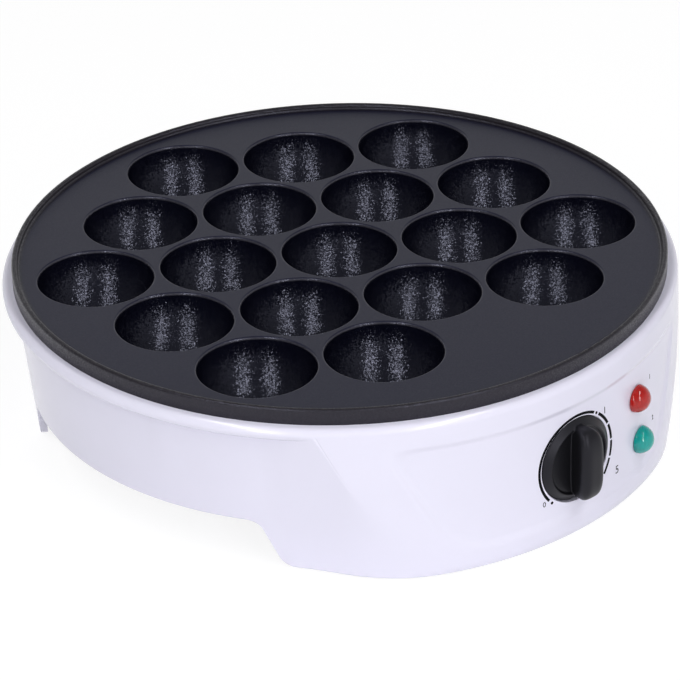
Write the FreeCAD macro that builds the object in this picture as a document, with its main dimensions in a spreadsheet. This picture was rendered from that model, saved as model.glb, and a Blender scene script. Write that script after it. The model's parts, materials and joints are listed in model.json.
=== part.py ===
import FreeCAD, Part
import math
import operator
import os
import Sketcher
from FreeCAD import Placement, Rotation, Vector

# A round takoyaki maker. A cast plate with eighteen cups rests on the rim of a moulded
# housing, and a thermostat, its knob and two pilot lamps sit in a pod at the front.
# +Z is up, the control panel faces -Y, and the origin is at table level in the middle of the
# part's outline seen from above. Sub-parts are drawn about the plate's axis and then set back
# by half of what the knob stands out in front. Lengths are in millimetres.

# Driving dimensions: name, value, what it is.
SIZES = (
    ("cup_pitch", 42.7, "centre to centre of neighbouring cups"),
    ("cup_mouth", 20.0, "radius of a cup at the plate's face"),
    ("cup_wall", 2.2, "thickness of a cup's wall"),
    ("cup_edge", 0.7, "round on a cup's rim"),
    ("plate_top", 63.0, "height of the plate's flat face"),
    ("plate_web", 3.0, "thickness of the plate between the cups"),
    ("plate_margin", 8.2, "width of the plate outside its outermost cups"),
    ("lip_width", 2.0, "width of the raised edge"),
    ("lip_height", 1.9, "height of the raised edge over the flat face"),
    ("lip_round", 0.8, "round on the raised edge"),
    ("plate_side", 3.7, "depth of the plate's side below its flat face"),
    ("spigot_depth", 4.3, "depth of the ring that centres the plate in the housing"),
    ("spigot_wall", 1.6, "thickness of that ring"),
    ("plate_overlap", 3.6, "reach of the plate over the housing's opening"),
    ("spigot_gap", 0.5, "clearance round the centring ring"),
    ("bead_round", 2.5, "radius of the half round bead along the rim"),
    ("bead_proud", 3.6, "reach of the bead past the plate"),
    ("wall", 2.6, "thickness of the housing's wall"),
    ("skirt_low", 1.0, "height of the housing's lower edge"),
    ("skirt_tuck", 9.4, "how far the skirt's lower edge is set in from the bead"),
    ("skirt_draft", 0.1, "outward slope of the skirt, per mm of height"),
    ("pod_lean", 1.7, "how far the pod's face leans out towards its foot"),
    ("pod_foot_round", 3.5, "height of the round at the pod's foot"),
    ("pod_foot_tuck", 1.5, "how far the pod's foot tucks in"),
    ("pod_flank_inset", 0.6, "how far inside the pod's face its flanks start"),
    ("pod_front_angle", 22.0, "half angle of the pod's front arc, degrees"),
    ("pod_corner", 60.0, "radius of the pod's corners in plan"),
    ("pod_flank_angle", 60.0, "direction of the pod's flanks in plan, degrees"),
    ("pod_flank_run", 30.0, "length of the pod's straight flanks in plan"),
    ("pod_draft_angle", 8.0, "draft of the pod's flanks, degrees"),
    ("arch_gap", 0.3, "gap between the arches' straight edge and the base cover"),
    ("arch_front_high", -61.0, "place along Y of the arch's front corner, high"),
    ("arch_front_low", -66.5, "place along Y of the arch's front corner, low"),
    ("arch_back_high", 49.5, "place along Y of the arch's back corner, high"),
    ("arch_back_low", 57.5, "place along Y of the arch's back corner, low"),
    ("arch_high_round", 5.0, "round at the arch's high corners"),
    ("arch_low_round", 5.0, "round at the feet's lower corners"),
    ("recess_depth", 0.8, "depth of the panel's recess"),
    ("recess_drop", 12.0, "depth of the recess's upper edge below the plate's face"),
    ("recess_low", 9.6, "height of the recess's lower edge"),
    ("recess_half_top", 62.0, "half width of the recess at its upper edge"),
    ("recess_half_mid", 54.5, "half width of the recess at mid height"),
    ("recess_mid", 24.0, "height at which that half width is taken"),
    ("recess_half_low", 33.0, "half width of the recess at its lower edge"),
    ("knob_drop", 33.9, "depth of the knob's axis below the plate's face"),
    ("knob_seat", 15.7, "radius of the knob's flat seat in the panel"),
    ("knob_seat_depth", 2.2, "depth of the seat below the middle of the panel"),
    ("knob_pad", 2.0, "thickness of the wall behind the seat"),
    ("knob_gap", 0.3, "gap between the seat and the knob"),
    ("knob_flange", 15.0, "radius of the knob's flange"),
    ("knob_flange_edge", 0.7, "thickness of the flange at its edge"),
    ("knob_ring", 12.9, "radius of the knob's raised ring"),
    ("knob_ring_width", 0.9, "width of the raised ring"),
    ("knob_ring_height", 3.0, "height of the raised ring over the knob's back"),
    ("knob_floor", 1.9, "height of the finger hollows' floor over the knob's back"),
    ("knob_grip_half", 3.8, "half thickness of the knob's grip"),
    ("knob_grip_height", 11.2, "height of the grip over the knob's back"),
    ("knob_grip_tip", 11.2, "half length of the grip at its top"),
    ("knob_grip_round", 2.0, "round on the grip's long edges"),
    ("knob_hub", 5.2, "radius of the hub behind the knob"),
    ("knob_hub_length", 3.0, "length of the hub behind the knob"),
    ("knob_bore_depth", 4.0, "depth of the knob's bore over its back"),
    ("knob_hole_gap", 1.3, "clearance between the hub and the panel"),
    ("shaft", 3.0, "radius of the thermostat's shaft"),
    ("shaft_flat", 2.2, "distance of the shaft's flat from its axis"),
    ("shaft_collar", 4.2, "radius of the shaft's collar"),
    ("shaft_collar_length", 1.0, "length of the shaft's collar"),
    ("shaft_fit", 0.05, "running clearance of the shaft in its bush"),
    ("clip_sheet", 0.5, "thickness of the knob's leaf clip"),
    ("clip_width", 2.4, "width of the knob's leaf clip"),
    ("clip_gap", 0.05, "clearance on each side of the leaf clip"),
    ("bush_barrel", 4.7, "radius of the bush's barrel"),
    ("bush_flange", 6.2, "radius of the bush's flange"),
    ("bush_flange_length", 1.5, "thickness of the bush's flange"),
    ("bush_length", 7.5, "length of the bush's barrel ahead of its flange"),
    ("nut_flats", 14.0, "size across the bush nut's flats"),
    ("nut_length", 2.5, "thickness of the bush nut"),
    ("bracket_depth", 15.1, "distance of the bracket's front face behind the panel's face"),
    ("bracket_sheet", 1.2, "thickness of the bracket"),
    ("bracket_half", 12.0, "half width of the bracket"),
    ("bracket_under", 8.0, "depth of the bracket's lower edge below the knob's axis"),
    ("bracket_reach", 24.0, "length of the bracket's flange"),
    ("bracket_over", 9.4, "height of the bracket's flange over the contact stack's axis"),
    ("bracket_boss", 6.0, "radius of the plate's boss that carries the bracket"),
    ("stack_over", 12.7, "height of the contact stack's axis over the knob's axis"),
    ("insulator", 5.5, "radius of a stack insulator"),
    ("insulator_length", 4.0, "length of a stack insulator"),
    ("insulator_count", 4, "number of stack insulators"),
    ("blade_sheet", 0.6, "thickness of a contact blade"),
    ("blade_half", 3.0, "half width of a contact blade"),
    ("blade_under", 5.3, "depth of the blades' lower ends below the knob's axis"),
    ("blade_over", 4.6, "reach of the blades past the stack's axis"),
    ("rivet", 1.6, "radius of the stack's rivet"),
    ("rivet_head", 3.0, "radius of the rivets' heads"),
    ("rivet_head_length", 1.0, "height of the rivets' heads"),
    ("hole_gap", 0.1, "clearance round pins and screws"),
    ("element_ring", 60.0, "radius of the heating element's ring"),
    ("element_tube", 3.25, "radius of the element's tube"),
    ("element_drop", 21.6, "depth of the element's ring below the plate's face"),
    ("element_open_angle", 16.0, "half angle of the ring's opening, degrees"),
    ("element_bend", 8.0, "radius of the bends at the ring's ends"),
    ("element_leg", 6.0, "length of the element's straight legs"),
    ("element_pin", 1.5, "radius of the element's cold pins"),
    ("element_pin_length", 3.4, "length of the cold pins"),
    ("tab_width", 6.3, "width of an element tab"),
    ("tab_length", 10.0, "length of an element tab"),
    ("tab_sheet", 0.8, "thickness of an element tab"),
    ("clamp_angle", 40.9, "angle of the element's clamps from the X axis, degrees"),
    ("clamp_offset", 8.0, "distance of a clamp's screw from the element's ring"),
    ("clamp_sheet", 1.0, "thickness of a clamp"),
    ("clamp_width", 10.0, "width of a clamp"),
    ("clamp_gap", 0.35, "clearance between a clamp and the element"),
    ("clamp_boss", 4.0, "radius of the bosses for the clamps"),
    ("small_shank", 1.5, "radius of a small screw's shank"),
    ("small_head", 2.8, "radius of a small screw's head"),
    ("small_head_length", 2.0, "height of a small screw's head"),
    ("small_length", 8.0, "length of a small screw's shank"),
    ("large_shank", 2.0, "radius of a large screw's shank"),
    ("large_head", 3.6, "radius of a large screw's head"),
    ("large_head_length", 2.4, "height of a large screw's head"),
    ("large_length", 14.0, "length of a large screw's shank"),
    ("bracket_screw_length", 7.0, "length of the bracket screw's shank"),
    ("post_inset", 18.6, "distance of the plate's bosses from its edge"),
    ("post_front_angle", -14.0, "angle of the front bosses from the X axis, degrees"),
    ("post_back_angle", 46.0, "angle of the back bosses from the X axis, degrees"),
    ("post_drop", 25.0, "depth of the bosses' lower faces below the plate's face"),
    ("post", 5.0, "radius of the plate's bosses"),
    ("spacer_length", 2.2, "thickness of the ceramic spacers"),
    ("lug_depth", 3.0, "thickness of the housing's lugs"),
    ("lug_half", 8.0, "half width of the housing's lugs"),
    ("lug_past", 6.0, "reach of the housing's lugs past the bosses"),
    ("pan_depth", 6.8, "depth of the reflector's underside below the bosses"),
    ("pan_sheet", 0.8, "thickness of the reflector"),
    ("pan_slope", 5.0, "width of the reflector's slope"),
    ("pan_flange_inner", 8.0, "width of the reflector's flange inside the bosses' ring"),
    ("pan_flange_outer", 6.0, "width of the reflector's flange outside that ring"),
    ("pan_notch_half", 17.0, "half width of the notch for the thermostat"),
    ("pan_notch_start", 66.0, "distance of the notch from the axis"),
    ("pan_leg_gap", 1.2, "clearance round the element's legs"),
    ("cover_gap", 0.4, "clearance round the base cover"),
    ("cover_sheet", 2.0, "thickness of the base cover"),
    ("cover_drop", 42.0, "depth of the cover's upper floor below the plate's face"),
    ("cover_well", 8.0, "height of the top face of the cover's front well"),
    ("cover_well_start", 70.0, "distance of the well from the axis"),
    ("leg", 7.0, "radius of the cover's legs"),
    ("leg_low", 1.5, "height of the legs' lower ends"),
    ("leg_front_angle", 28.1, "angle of the front legs from the front, degrees"),
    ("leg_front_inset", 16.9, "distance of the front legs from the pod's foot"),
    ("leg_back_angle", 34.7, "angle of the back legs from the back, degrees"),
    ("leg_back_inset", 12.9, "distance of the back legs from the skirt's lower edge"),
    ("foot", 6.0, "radius of a rubber foot"),
    ("foot_height", 3.0, "height of a rubber foot"),
    ("foot_stem", 2.0, "radius of a foot's stem"),
    ("foot_stem_length", 3.5, "length of a foot's stem"),
    ("tower", 4.5, "radius of the housing's screw towers"),
    ("tower_height", 10.0, "height of the towers over the cover"),
    ("tower_back_angle", 65.0, "angle of the back towers from the X axis, degrees"),
    ("tower_inset", 9.8, "distance of the side and back towers from the skirt's lower edge"),
    ("tower_front_angle", 62.6, "direction of the front towers from the pod's corner centre, degrees"),
    ("tower_front_inset", 8.0, "distance of the front towers from the pod's corner"),
    ("rib_sheet", 2.4, "thickness of the ribs that tie the towers to the wall"),
    ("vent_count", 7, "number of vent slots"),
    ("vent_pitch", 9.0, "spacing of the vent slots"),
    ("vent_half_width", 1.6, "half width of a vent slot"),
    ("vent_length", 36.0, "length of a vent slot"),
    ("lamp_red_x", 33.4, "sideways place of the red lamp"),
    ("lamp_red_drop", 25.9, "depth of the red lamp below the plate's face"),
    ("lamp_green_x", 35.4, "sideways place of the green lamp"),
    ("lamp_green_drop", 42.7, "depth of the green lamp below the plate's face"),
    ("lens", 4.9, "radius of a lens"),
    ("lens_dome", 5.0, "height of a lens over the panel"),
    ("lens_barrel", 4.2, "radius of a lens's barrel"),
    ("lens_barrel_length", 8.0, "length of a lens's barrel behind the panel's face"),
    ("lens_wall", 1.0, "thickness of a lens's wall"),
    ("lens_seat", 0.2, "gap under a lens's shoulder"),
    ("retainer", 6.5, "radius of a lens's retaining ring"),
    ("retainer_sheet", 0.6, "thickness of a retaining ring"),
    ("retainer_gap", 0.4, "gap between the panel and a retaining ring"),
    ("neon", 2.6, "radius of a neon lamp"),
    ("neon_length", 9.0, "length of a neon lamp"),
    ("neon_front", 0.5, "reach of a neon lamp past the panel's face"),
    ("sleeve_wall", 0.5, "thickness of a lamp's sleeve"),
    ("sleeve_length", 8.0, "length of a lamp's sleeve"),
    ("sleeve_start", 4.0, "distance of a sleeve from the panel's face"),
    ("gland_drop", 33.5, "depth of the cord gland's axis below the plate's face"),
    ("gland_flange", 7.5, "radius of the gland's flange"),
    ("gland_flange_length", 2.5, "thickness of the gland's flange"),
    ("gland_sink", 0.85, "depth of the gland's seat in the skirt"),
    ("gland_barrel", 5.6, "radius of the gland's barrel"),
    ("gland_ridge", 6.4, "radius of the gland's snap ridge"),
    ("gland_ridge_seat", 2.8, "distance from the seat to the snap ridge"),
    ("gland_length", 8.8, "length of the gland behind its seat"),
    ("gland_bore", 3.6, "radius of the gland's bore"),
    ("block_back", 37.8, "distance of the terminal block's middle from the gland's seat"),
    ("block_half_width", 14.0, "half width of the terminal block"),
    ("block_half_depth", 7.0, "half depth of the terminal block"),
    ("block_height", 7.6, "height of the terminal block"),
    ("block_pole", 7.5, "sideways place of the block's poles"),
    ("block_lead_height", 4.2, "height of the block's lead holes over the cover"),
    ("block_tube", 1.9, "radius of the block's brass tubes"),
    ("lead", 1.1, "radius of an insulated lead"),
    ("lead_run", 10.0, "length of a lead's straight run before it turns"),
    ("lead_dip", 1.5, "how far the leads dip between their ends"),
    ("grip_back", 17.8, "distance of the cord grip's middle from the gland's seat"),
    ("grip_half", 14.0, "half width of the cord grip"),
    ("grip_depth", 6.0, "depth of the cord grip"),
    ("grip_sheet", 3.0, "thickness of the cord grip"),
    ("grip_post", 3.4, "radius of the grip's posts"),
    ("grip_post_height", 5.0, "height of the grip's posts"),
    ("grip_screw_x", 10.0, "sideways place of the grip's screws"),
    ("grip_screw_length", 7.0, "length of a grip screw's shank"),
    ("fuse_x", 34.0, "sideways place of the thermal fuse"),
    ("fuse_y", 36.0, "place along Y of the thermal fuse"),
    ("fuse", 2.0, "radius of the thermal fuse"),
    ("fuse_length", 11.0, "length of the thermal fuse"),
    ("fuse_gap", 0.1, "clearance round the thermal fuse"),
    ("fuse_clip_width", 6.0, "width of the fuse's clip"),
    ("fuse_clip_sheet", 0.6, "thickness of the fuse's clip"),
    ("fuse_clip_tab", 7.0, "length of each tab of the fuse's clip"),
)

doc = FreeCAD.newDocument("takoyaki_maker")
subparts = {}
places_y = {}


class Size:
    """A length with its value and the sheet formula that gives it."""

    def __init__(self, formula, value):
        self.formula = formula
        self.value = value

    def __add__(self, other):
        return joined(self, "+", other, operator.add)

    def __radd__(self, other):
        return joined(other, "+", self, operator.add)

    def __sub__(self, other):
        return joined(self, "-", other, operator.sub)

    def __rsub__(self, other):
        return joined(other, "-", self, operator.sub)

    def __mul__(self, other):
        return joined(self, "*", other, operator.mul)

    def __rmul__(self, other):
        return joined(other, "*", self, operator.mul)

    def __truediv__(self, other):
        return joined(self, "/", other, operator.truediv)

    def __neg__(self):
        return joined(0, "-", self, operator.sub)


class Sheet:
    """The driving dimensions and what follows from them, each read as a Size by its name."""


def as_size(length):
    if isinstance(length, Size):
        return length
    return Size(f"({float(length):.9f})", float(length))


def joined(left, sign, right, work):
    left = as_size(left)
    right = as_size(right)
    return Size(f"({left.formula} {sign} {right.formula})", work(left.value, right.value))


def sine(degrees):
    degrees = as_size(degrees)
    return Size(f"sin({degrees.formula} * 1 deg)", math.sin(math.radians(degrees.value)))


def cosine(degrees):
    degrees = as_size(degrees)
    return Size(f"cos({degrees.formula} * 1 deg)", math.cos(math.radians(degrees.value)))


def root(square):
    return Size(f"sqrt({square.formula})", math.sqrt(square.value))


def make_sheet():
    """Writes the driving dimensions to a spreadsheet and returns them by name."""
    sheet = doc.addObject("Spreadsheet::Sheet", "Sizes")
    dims = Sheet()
    for row, (alias, value, note) in enumerate(SIZES, start=1):
        sheet.set(f"A{row}", alias)
        sheet.set(f"B{row}", str(value))
        sheet.set(f"C{row}", note)
        sheet.setAlias(f"B{row}", alias)
        setattr(dims, alias, Size(f"Sizes.{alias}", float(value)))
    doc.recompute()
    return dims


D = make_sheet()

# Places and radii that follow from the driving dimensions.
D.plate_reach = 2 * D.cup_pitch + D.cup_mouth + D.plate_margin
D.rim_bore = D.plate_reach - D.plate_overlap
D.bead_reach = D.plate_reach + D.bead_proud
D.skirt_reach = D.bead_reach - D.skirt_tuck
D.pod_reach_low = D.bead_reach + D.pod_lean
D.pod_flank_front = D.pod_reach_low - D.pod_flank_inset
D.post_ring = D.plate_reach - D.post_inset
D.lug_inner = D.post_ring - D.lug_past
D.pan_reach = D.post_ring + D.pan_flange_outer
D.pan_shoulder = D.post_ring - D.pan_flange_inner
D.pan_floor = D.pan_shoulder - D.pan_slope
D.tower_ring = D.skirt_reach - D.tower_inset
D.recess_top = D.plate_top - D.recess_drop
D.knob_height = D.plate_top - D.knob_drop
D.bracket_low = D.knob_height - D.bracket_under
D.stack_height = D.knob_height + D.stack_over
D.blade_low = D.knob_height - D.blade_under
D.element_height = D.plate_top - D.element_drop
D.post_low = D.plate_top - D.post_drop
D.pan_floor_low = D.post_low - D.pan_depth
D.cover_high = D.plate_top - D.cover_drop
D.arch_top = D.cover_high - D.cover_sheet - D.arch_gap
D.lamp_red_height = D.plate_top - D.lamp_red_drop
D.lamp_green_height = D.plate_top - D.lamp_green_drop
D.gland_height = D.plate_top - D.gland_drop


# Ways to make a solid.


def bind(thing, **sizes):
    """Ties properties to the sheet; a double underscore stands for a dot."""
    for name, size in sizes.items():
        thing.setExpression(name.replace("__", "."), as_size(size).formula)


def put(thing, x=0, y=0, z=0, turn=None):
    """Places a thing, its position tied to the sheet."""
    if turn is not None:
        thing.Placement = Placement(Vector(), turn)
    bind(thing, Placement__Base__x=x, Placement__Base__y=y, Placement__Base__z=z)
    places_y[thing.Name] = y
    return thing


def block(name, xs, ys, zs):
    """A box between two places along each axis."""
    box = doc.addObject("Part::Box", name)
    bind(box, Length=xs[1] - xs[0], Width=ys[1] - ys[0], Height=zs[1] - zs[0])
    return put(box, xs[0], ys[0], zs[0])


def rod(name, radius, x, y, zs):
    """An upright cylinder between two heights."""
    cylinder = doc.addObject("Part::Cylinder", name)
    bind(cylinder, Radius=radius, Height=zs[1] - zs[0])
    return put(cylinder, x, y, zs[0])


def rod_along_y(name, radius, x, ys, z):
    """A cylinder that runs along Y."""
    cylinder = doc.addObject("Part::Cylinder", name)
    bind(cylinder, Radius=radius, Height=ys[1] - ys[0])
    return put(cylinder, x, ys[0], z, Rotation(Vector(1, 0, 0), -90))


def rod_along_x(name, radius, xs, y, z):
    """A cylinder that runs along X."""
    cylinder = doc.addObject("Part::Cylinder", name)
    bind(cylinder, Radius=radius, Height=xs[1] - xs[0])
    return put(cylinder, xs[0], y, z, Rotation(Vector(0, 1, 0), 90))


def fuse(name, shapes):
    union = doc.addObject("Part::MultiFuse", name)
    union.Shapes = shapes
    return union


def cut(name, base, tools):
    """The base with every tool taken out of it."""
    tool = tools[0] if len(tools) == 1 else fuse(name + "_tools", tools)
    rest = doc.addObject("Part::Cut", name)
    rest.Base = base
    rest.Tool = tool
    return rest


def common(name, first, second):
    shared = doc.addObject("Part::Common", name)
    shared.Base = first
    shared.Tool = second
    return shared


def group(name, shapes):
    """Like pieces as one group of separate solids."""
    compound = doc.addObject("Part::Compound", name)
    compound.Links = shapes
    return compound


def keep(node, thing):
    """Names a finished sub-part and sets it back from the plate's axis to the part's origin."""
    bind(thing, Placement__Base__y=places_y.get(thing.Name, 0) + axis_y)
    thing.Label = node
    subparts[node] = thing
    return thing


def sketch_on(body, plane, name, offset=0):
    """A sketch on one of the body's own planes, moved out along the plane's normal."""
    sketch = body.newObject("Sketcher::SketchObject", name)
    support = next(face for face in body.Origin.OriginFeatures if face.Role == plane)
    sketch.AttachmentSupport = [(support, "")]
    sketch.MapMode = "FlatFace"
    bind(sketch, AttachmentOffset__Base__z=offset)
    return sketch


def arc_between(start, end, radius):
    """The arc from start to end that turns left where the radius is positive."""
    run = end - start
    half = run.Length / 2
    rise = math.sqrt(max(radius * radius - half * half, 0))
    side = Vector(-run.y, run.x, 0).normalize() * math.copysign(rise, radius)
    centre = start + run / 2 + side
    circle = Part.Circle(centre, Vector(0, 0, 1), abs(radius))
    first, last = (start, end) if radius > 0 else (end, start)
    return Part.ArcOfCircle(circle, circle.parameter(first), circle.parameter(last))


def outline(sketch, points):
    """Closes an outline through (across, up) points. A third value is the radius of the arc
    that leaves the point, positive where the arc turns left."""
    ends = []
    for index, point in enumerate(points):
        following = points[(index + 1) % len(points)]
        start = Vector(as_size(point[0]).value, as_size(point[1]).value, 0)
        end = Vector(as_size(following[0]).value, as_size(following[1]).value, 0)
        if len(point) == 2:
            sketch.addGeometry(Part.LineSegment(start, end))
            ends.append((1, 2))
            continue
        radius = as_size(point[2])
        sketch.addGeometry(arc_between(start, end, radius.value))
        ends.append((1, 2) if radius.value > 0 else (2, 1))
        pull = radius if radius.value > 0 else -radius
        hold(sketch, Sketcher.Constraint("Radius", index, pull.value), pull)
    for index, point in enumerate(points):
        following = (index + 1) % len(points)
        joint = ("Coincident", index, ends[index][1], following, ends[following][0])
        sketch.addConstraint(Sketcher.Constraint(*joint))
        for kind, place, axis in (("DistanceX", point[0], -2), ("DistanceY", point[1], -1)):
            place = as_size(place)
            corner = (index, ends[index][0])
            if place.value == 0:
                sketch.addConstraint(Sketcher.Constraint("PointOnObject", *corner, axis))
            else:
                distance = Sketcher.Constraint(kind, -1, 1, *corner, place.value)
                hold(sketch, distance, place)


def hold(sketch, constraint, size):
    """Adds a dimension to a sketch, tied to the sheet."""
    number = sketch.addConstraint(constraint)
    sketch.setExpression(f"Constraints[{number}]", size.formula)


def turned(name, points):
    """A body turned about its own Z axis from half its section, as (radius, height) points."""
    body = doc.addObject("PartDesign::Body", name)
    sketch = sketch_on(body, "XZ_Plane", name + "_section")
    outline(sketch, points)
    turning = body.newObject("PartDesign::Revolution", name + "_turning")
    turning.Profile = sketch
    turning.ReferenceAxis = (sketch, ["V_Axis"])
    turning.Angle = 360
    body.Tip = turning
    return body


def drawn(name, plane, points, start, length, taper=0):
    """A body drawn out from an outline, square to one of its planes."""
    body = doc.addObject("PartDesign::Body", name)
    sketch = sketch_on(body, plane, name + "_outline", start)
    outline(sketch, points)
    pad = body.newObject("PartDesign::Pad", name + "_pad")
    pad.Profile = sketch
    bind(pad, Length=length)
    if as_size(taper).value:
        bind(pad, TaperAngle=taper)
    body.Tip = pad
    return body


def soften(body, name, radius, chosen):
    """Rounds the chosen edges of a body."""
    doc.recompute()
    base = body.Tip
    edges = [f"Edge{n}" for n, edge in enumerate(base.Shape.Edges, start=1) if chosen(edge)]
    if not edges:
        raise ValueError(f"{name}: no edge to round")
    fillet = body.newObject("PartDesign::Fillet", name)
    fillet.Base = (base, edges)
    bind(fillet, Radius=radius)
    body.Tip = fillet
    return body


def facing(direction):
    """The turn that points a piece's own Z axis along a direction."""
    return Rotation(Vector(0, 0, 1), direction)


def round_place(ring, degrees):
    """The X and Y of a place on a ring about the axis."""
    return ring * cosine(degrees), ring * sine(degrees)


def screw(name, shank, head, head_length, length, x, y, z, turn=None):
    """A pan-head screw whose shank starts at the given place and runs along its own Z."""
    dimple = head * 0.4
    points = [
        (0, dimple - head_length),
        (dimple, -head_length),
        (head - head_length * 0.4, -head_length),
        (head, head_length * -0.6),
        (head, 0),
        (shank, 0),
        (shank, length - shank * 0.5),
        (shank * 0.5, length),
        (0, length),
    ]
    return put(turned(name, points), x, y, z, turn)


PAST = 1  # how far a cutter runs past the face that it opens
small_drill = D.small_shank + D.hole_gap
large_drill = D.large_shank + D.hole_gap
DOWN = Rotation(Vector(1, 0, 0), 180)
BACKWARD = Rotation(Vector(1, 0, 0), -90)
FORWARD = Rotation(Vector(1, 0, 0), 90)


# Surfaces that several sub-parts share.


def skirt_at(height):
    """Outer radius of the housing's plain wall at a height."""
    return D.skirt_reach + (height - D.skirt_low) * D.skirt_draft


seat_height = D.plate_top - D.plate_side
bead_centre = D.bead_reach - D.bead_round
bead_height = seat_height - D.bead_round
pod_face_low = D.skirt_low + D.pod_foot_round


def pod_at(height):
    """Radius of the pod's face at a height."""
    slope = (D.bead_reach - D.pod_reach_low) / (bead_height - pod_face_low)
    return D.pod_reach_low + (height - pod_face_low) * slope


def panel_at(height):
    """Radius of the recessed panel at a height."""
    return pod_at(height) - D.recess_depth


D.bracket_front = panel_at(D.knob_height) - D.bracket_depth
D.gland_seat = skirt_at(D.gland_height) - D.gland_sink
D.block_y = D.gland_seat - D.block_back
D.grip_y = D.gland_seat - D.grip_back
seat_reach = panel_at(D.knob_height) - D.knob_seat_depth
knob_back = seat_reach + D.knob_gap
axis_y = (knob_back + D.knob_grip_height - D.bead_reach) / 2


def pod_hub():
    """The centre of the pod's right corner in plan."""
    reach = D.pod_flank_front - D.pod_corner
    return reach * sine(D.pod_front_angle), -(reach * cosine(D.pod_front_angle))


def pod_plan(inset):
    """The pod's outline in plan at the skirt's edge, set in from the outside by a distance."""
    half = D.pod_front_angle
    turn = D.pod_flank_angle
    front = D.pod_flank_front - inset
    corner = D.pod_corner - inset
    hub_x, hub_y = pod_hub()
    nose_x = front * sine(half)
    nose_y = -(front * cosine(half))
    cheek_x = hub_x + corner * sine(turn)
    cheek_y = hub_y - corner * cosine(turn)
    tail_x = cheek_x + D.pod_flank_run * cosine(turn)
    tail_y = cheek_y + D.pod_flank_run * sine(turn)
    return [
        (-nose_x, nose_y, front),
        (nose_x, nose_y, corner),
        (cheek_x, cheek_y),
        (tail_x, tail_y),
        (-tail_x, tail_y),
        (-cheek_x, cheek_y, corner),
    ]


def pod_block(name, inset, top):
    """The pod between its face and its drafted flanks, set in from the outside by a distance."""
    low = D.skirt_low
    flanks = drawn(name + "_flanks", "XY_Plane", pod_plan(inset), low, top - low, D.pod_draft_angle)
    foot = D.pod_reach_low - D.pod_foot_tuck
    face = turned(name + "_face", [
        (0, low),
        (foot - inset, low),
        (D.pod_reach_low - inset, pod_face_low),
        (pod_at(top) - inset, top),
        (0, top),
    ])
    return common(name, flanks, face)


def interior(name, inset, low):
    """The space inside the housing at a distance from its outer skin, open at the bottom."""
    shoulder = D.skirt_low + (D.rim_bore + D.wall - D.skirt_reach) / D.skirt_draft
    over = D.wall - inset
    round_room = turned(name + "_round", [
        (0, low),
        (skirt_at(low) - inset, low),
        (D.rim_bore + over, shoulder),
        (D.rim_bore + over, seat_height + D.bead_round),
        (0, seat_height + D.bead_round),
    ])
    pod_top = seat_height - D.wall * 2 + over
    pod_room = pod_block(name + "_pod", inset, pod_top)
    foot_reach = D.pod_reach_low - D.pod_foot_tuck - inset
    mouth = drawn(name + "_mouth", "XY_Plane", pod_plan(inset), low, D.skirt_low - low)
    mouth_round = rod(name + "_mouth_round", foot_reach, 0, 0, (low, D.skirt_low))
    pod_mouth = common(name + "_pod_mouth", mouth, mouth_round)
    return fuse(name, [round_room, pod_room, pod_mouth])


# The cooking plate.


def cup_places():
    """The places of the eighteen cups: a six-sided lattice without its front place."""
    places = [(as_size(0), as_size(0))]
    rings = ((1, -90, range(6)), (math.sqrt(3), 0, range(6)), (2, -90, range(1, 6)))
    for reach, start, steps in rings:
        for step in steps:
            angle = math.radians(start + 60 * step)
            places.append((D.cup_pitch * (reach * math.cos(angle)), D.cup_pitch * (reach * math.sin(angle))))
    return places


def post_places():
    """The places of the four bosses that carry the plate."""
    places = []
    for turn in (D.post_front_angle, D.post_back_angle):
        x, y = round_place(D.post_ring, turn)
        places += [(x, y), (-x, y)]
    return places


def clamp_turns():
    """The directions of the four element clamps, in degrees."""
    return [D.clamp_angle, 180 - D.clamp_angle, 180 + D.clamp_angle, -D.clamp_angle]


bracket_boss_y = D.cup_pitch * -2
web_low = D.plate_top - D.plate_web
bracket_high = D.stack_height + D.bracket_over


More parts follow.
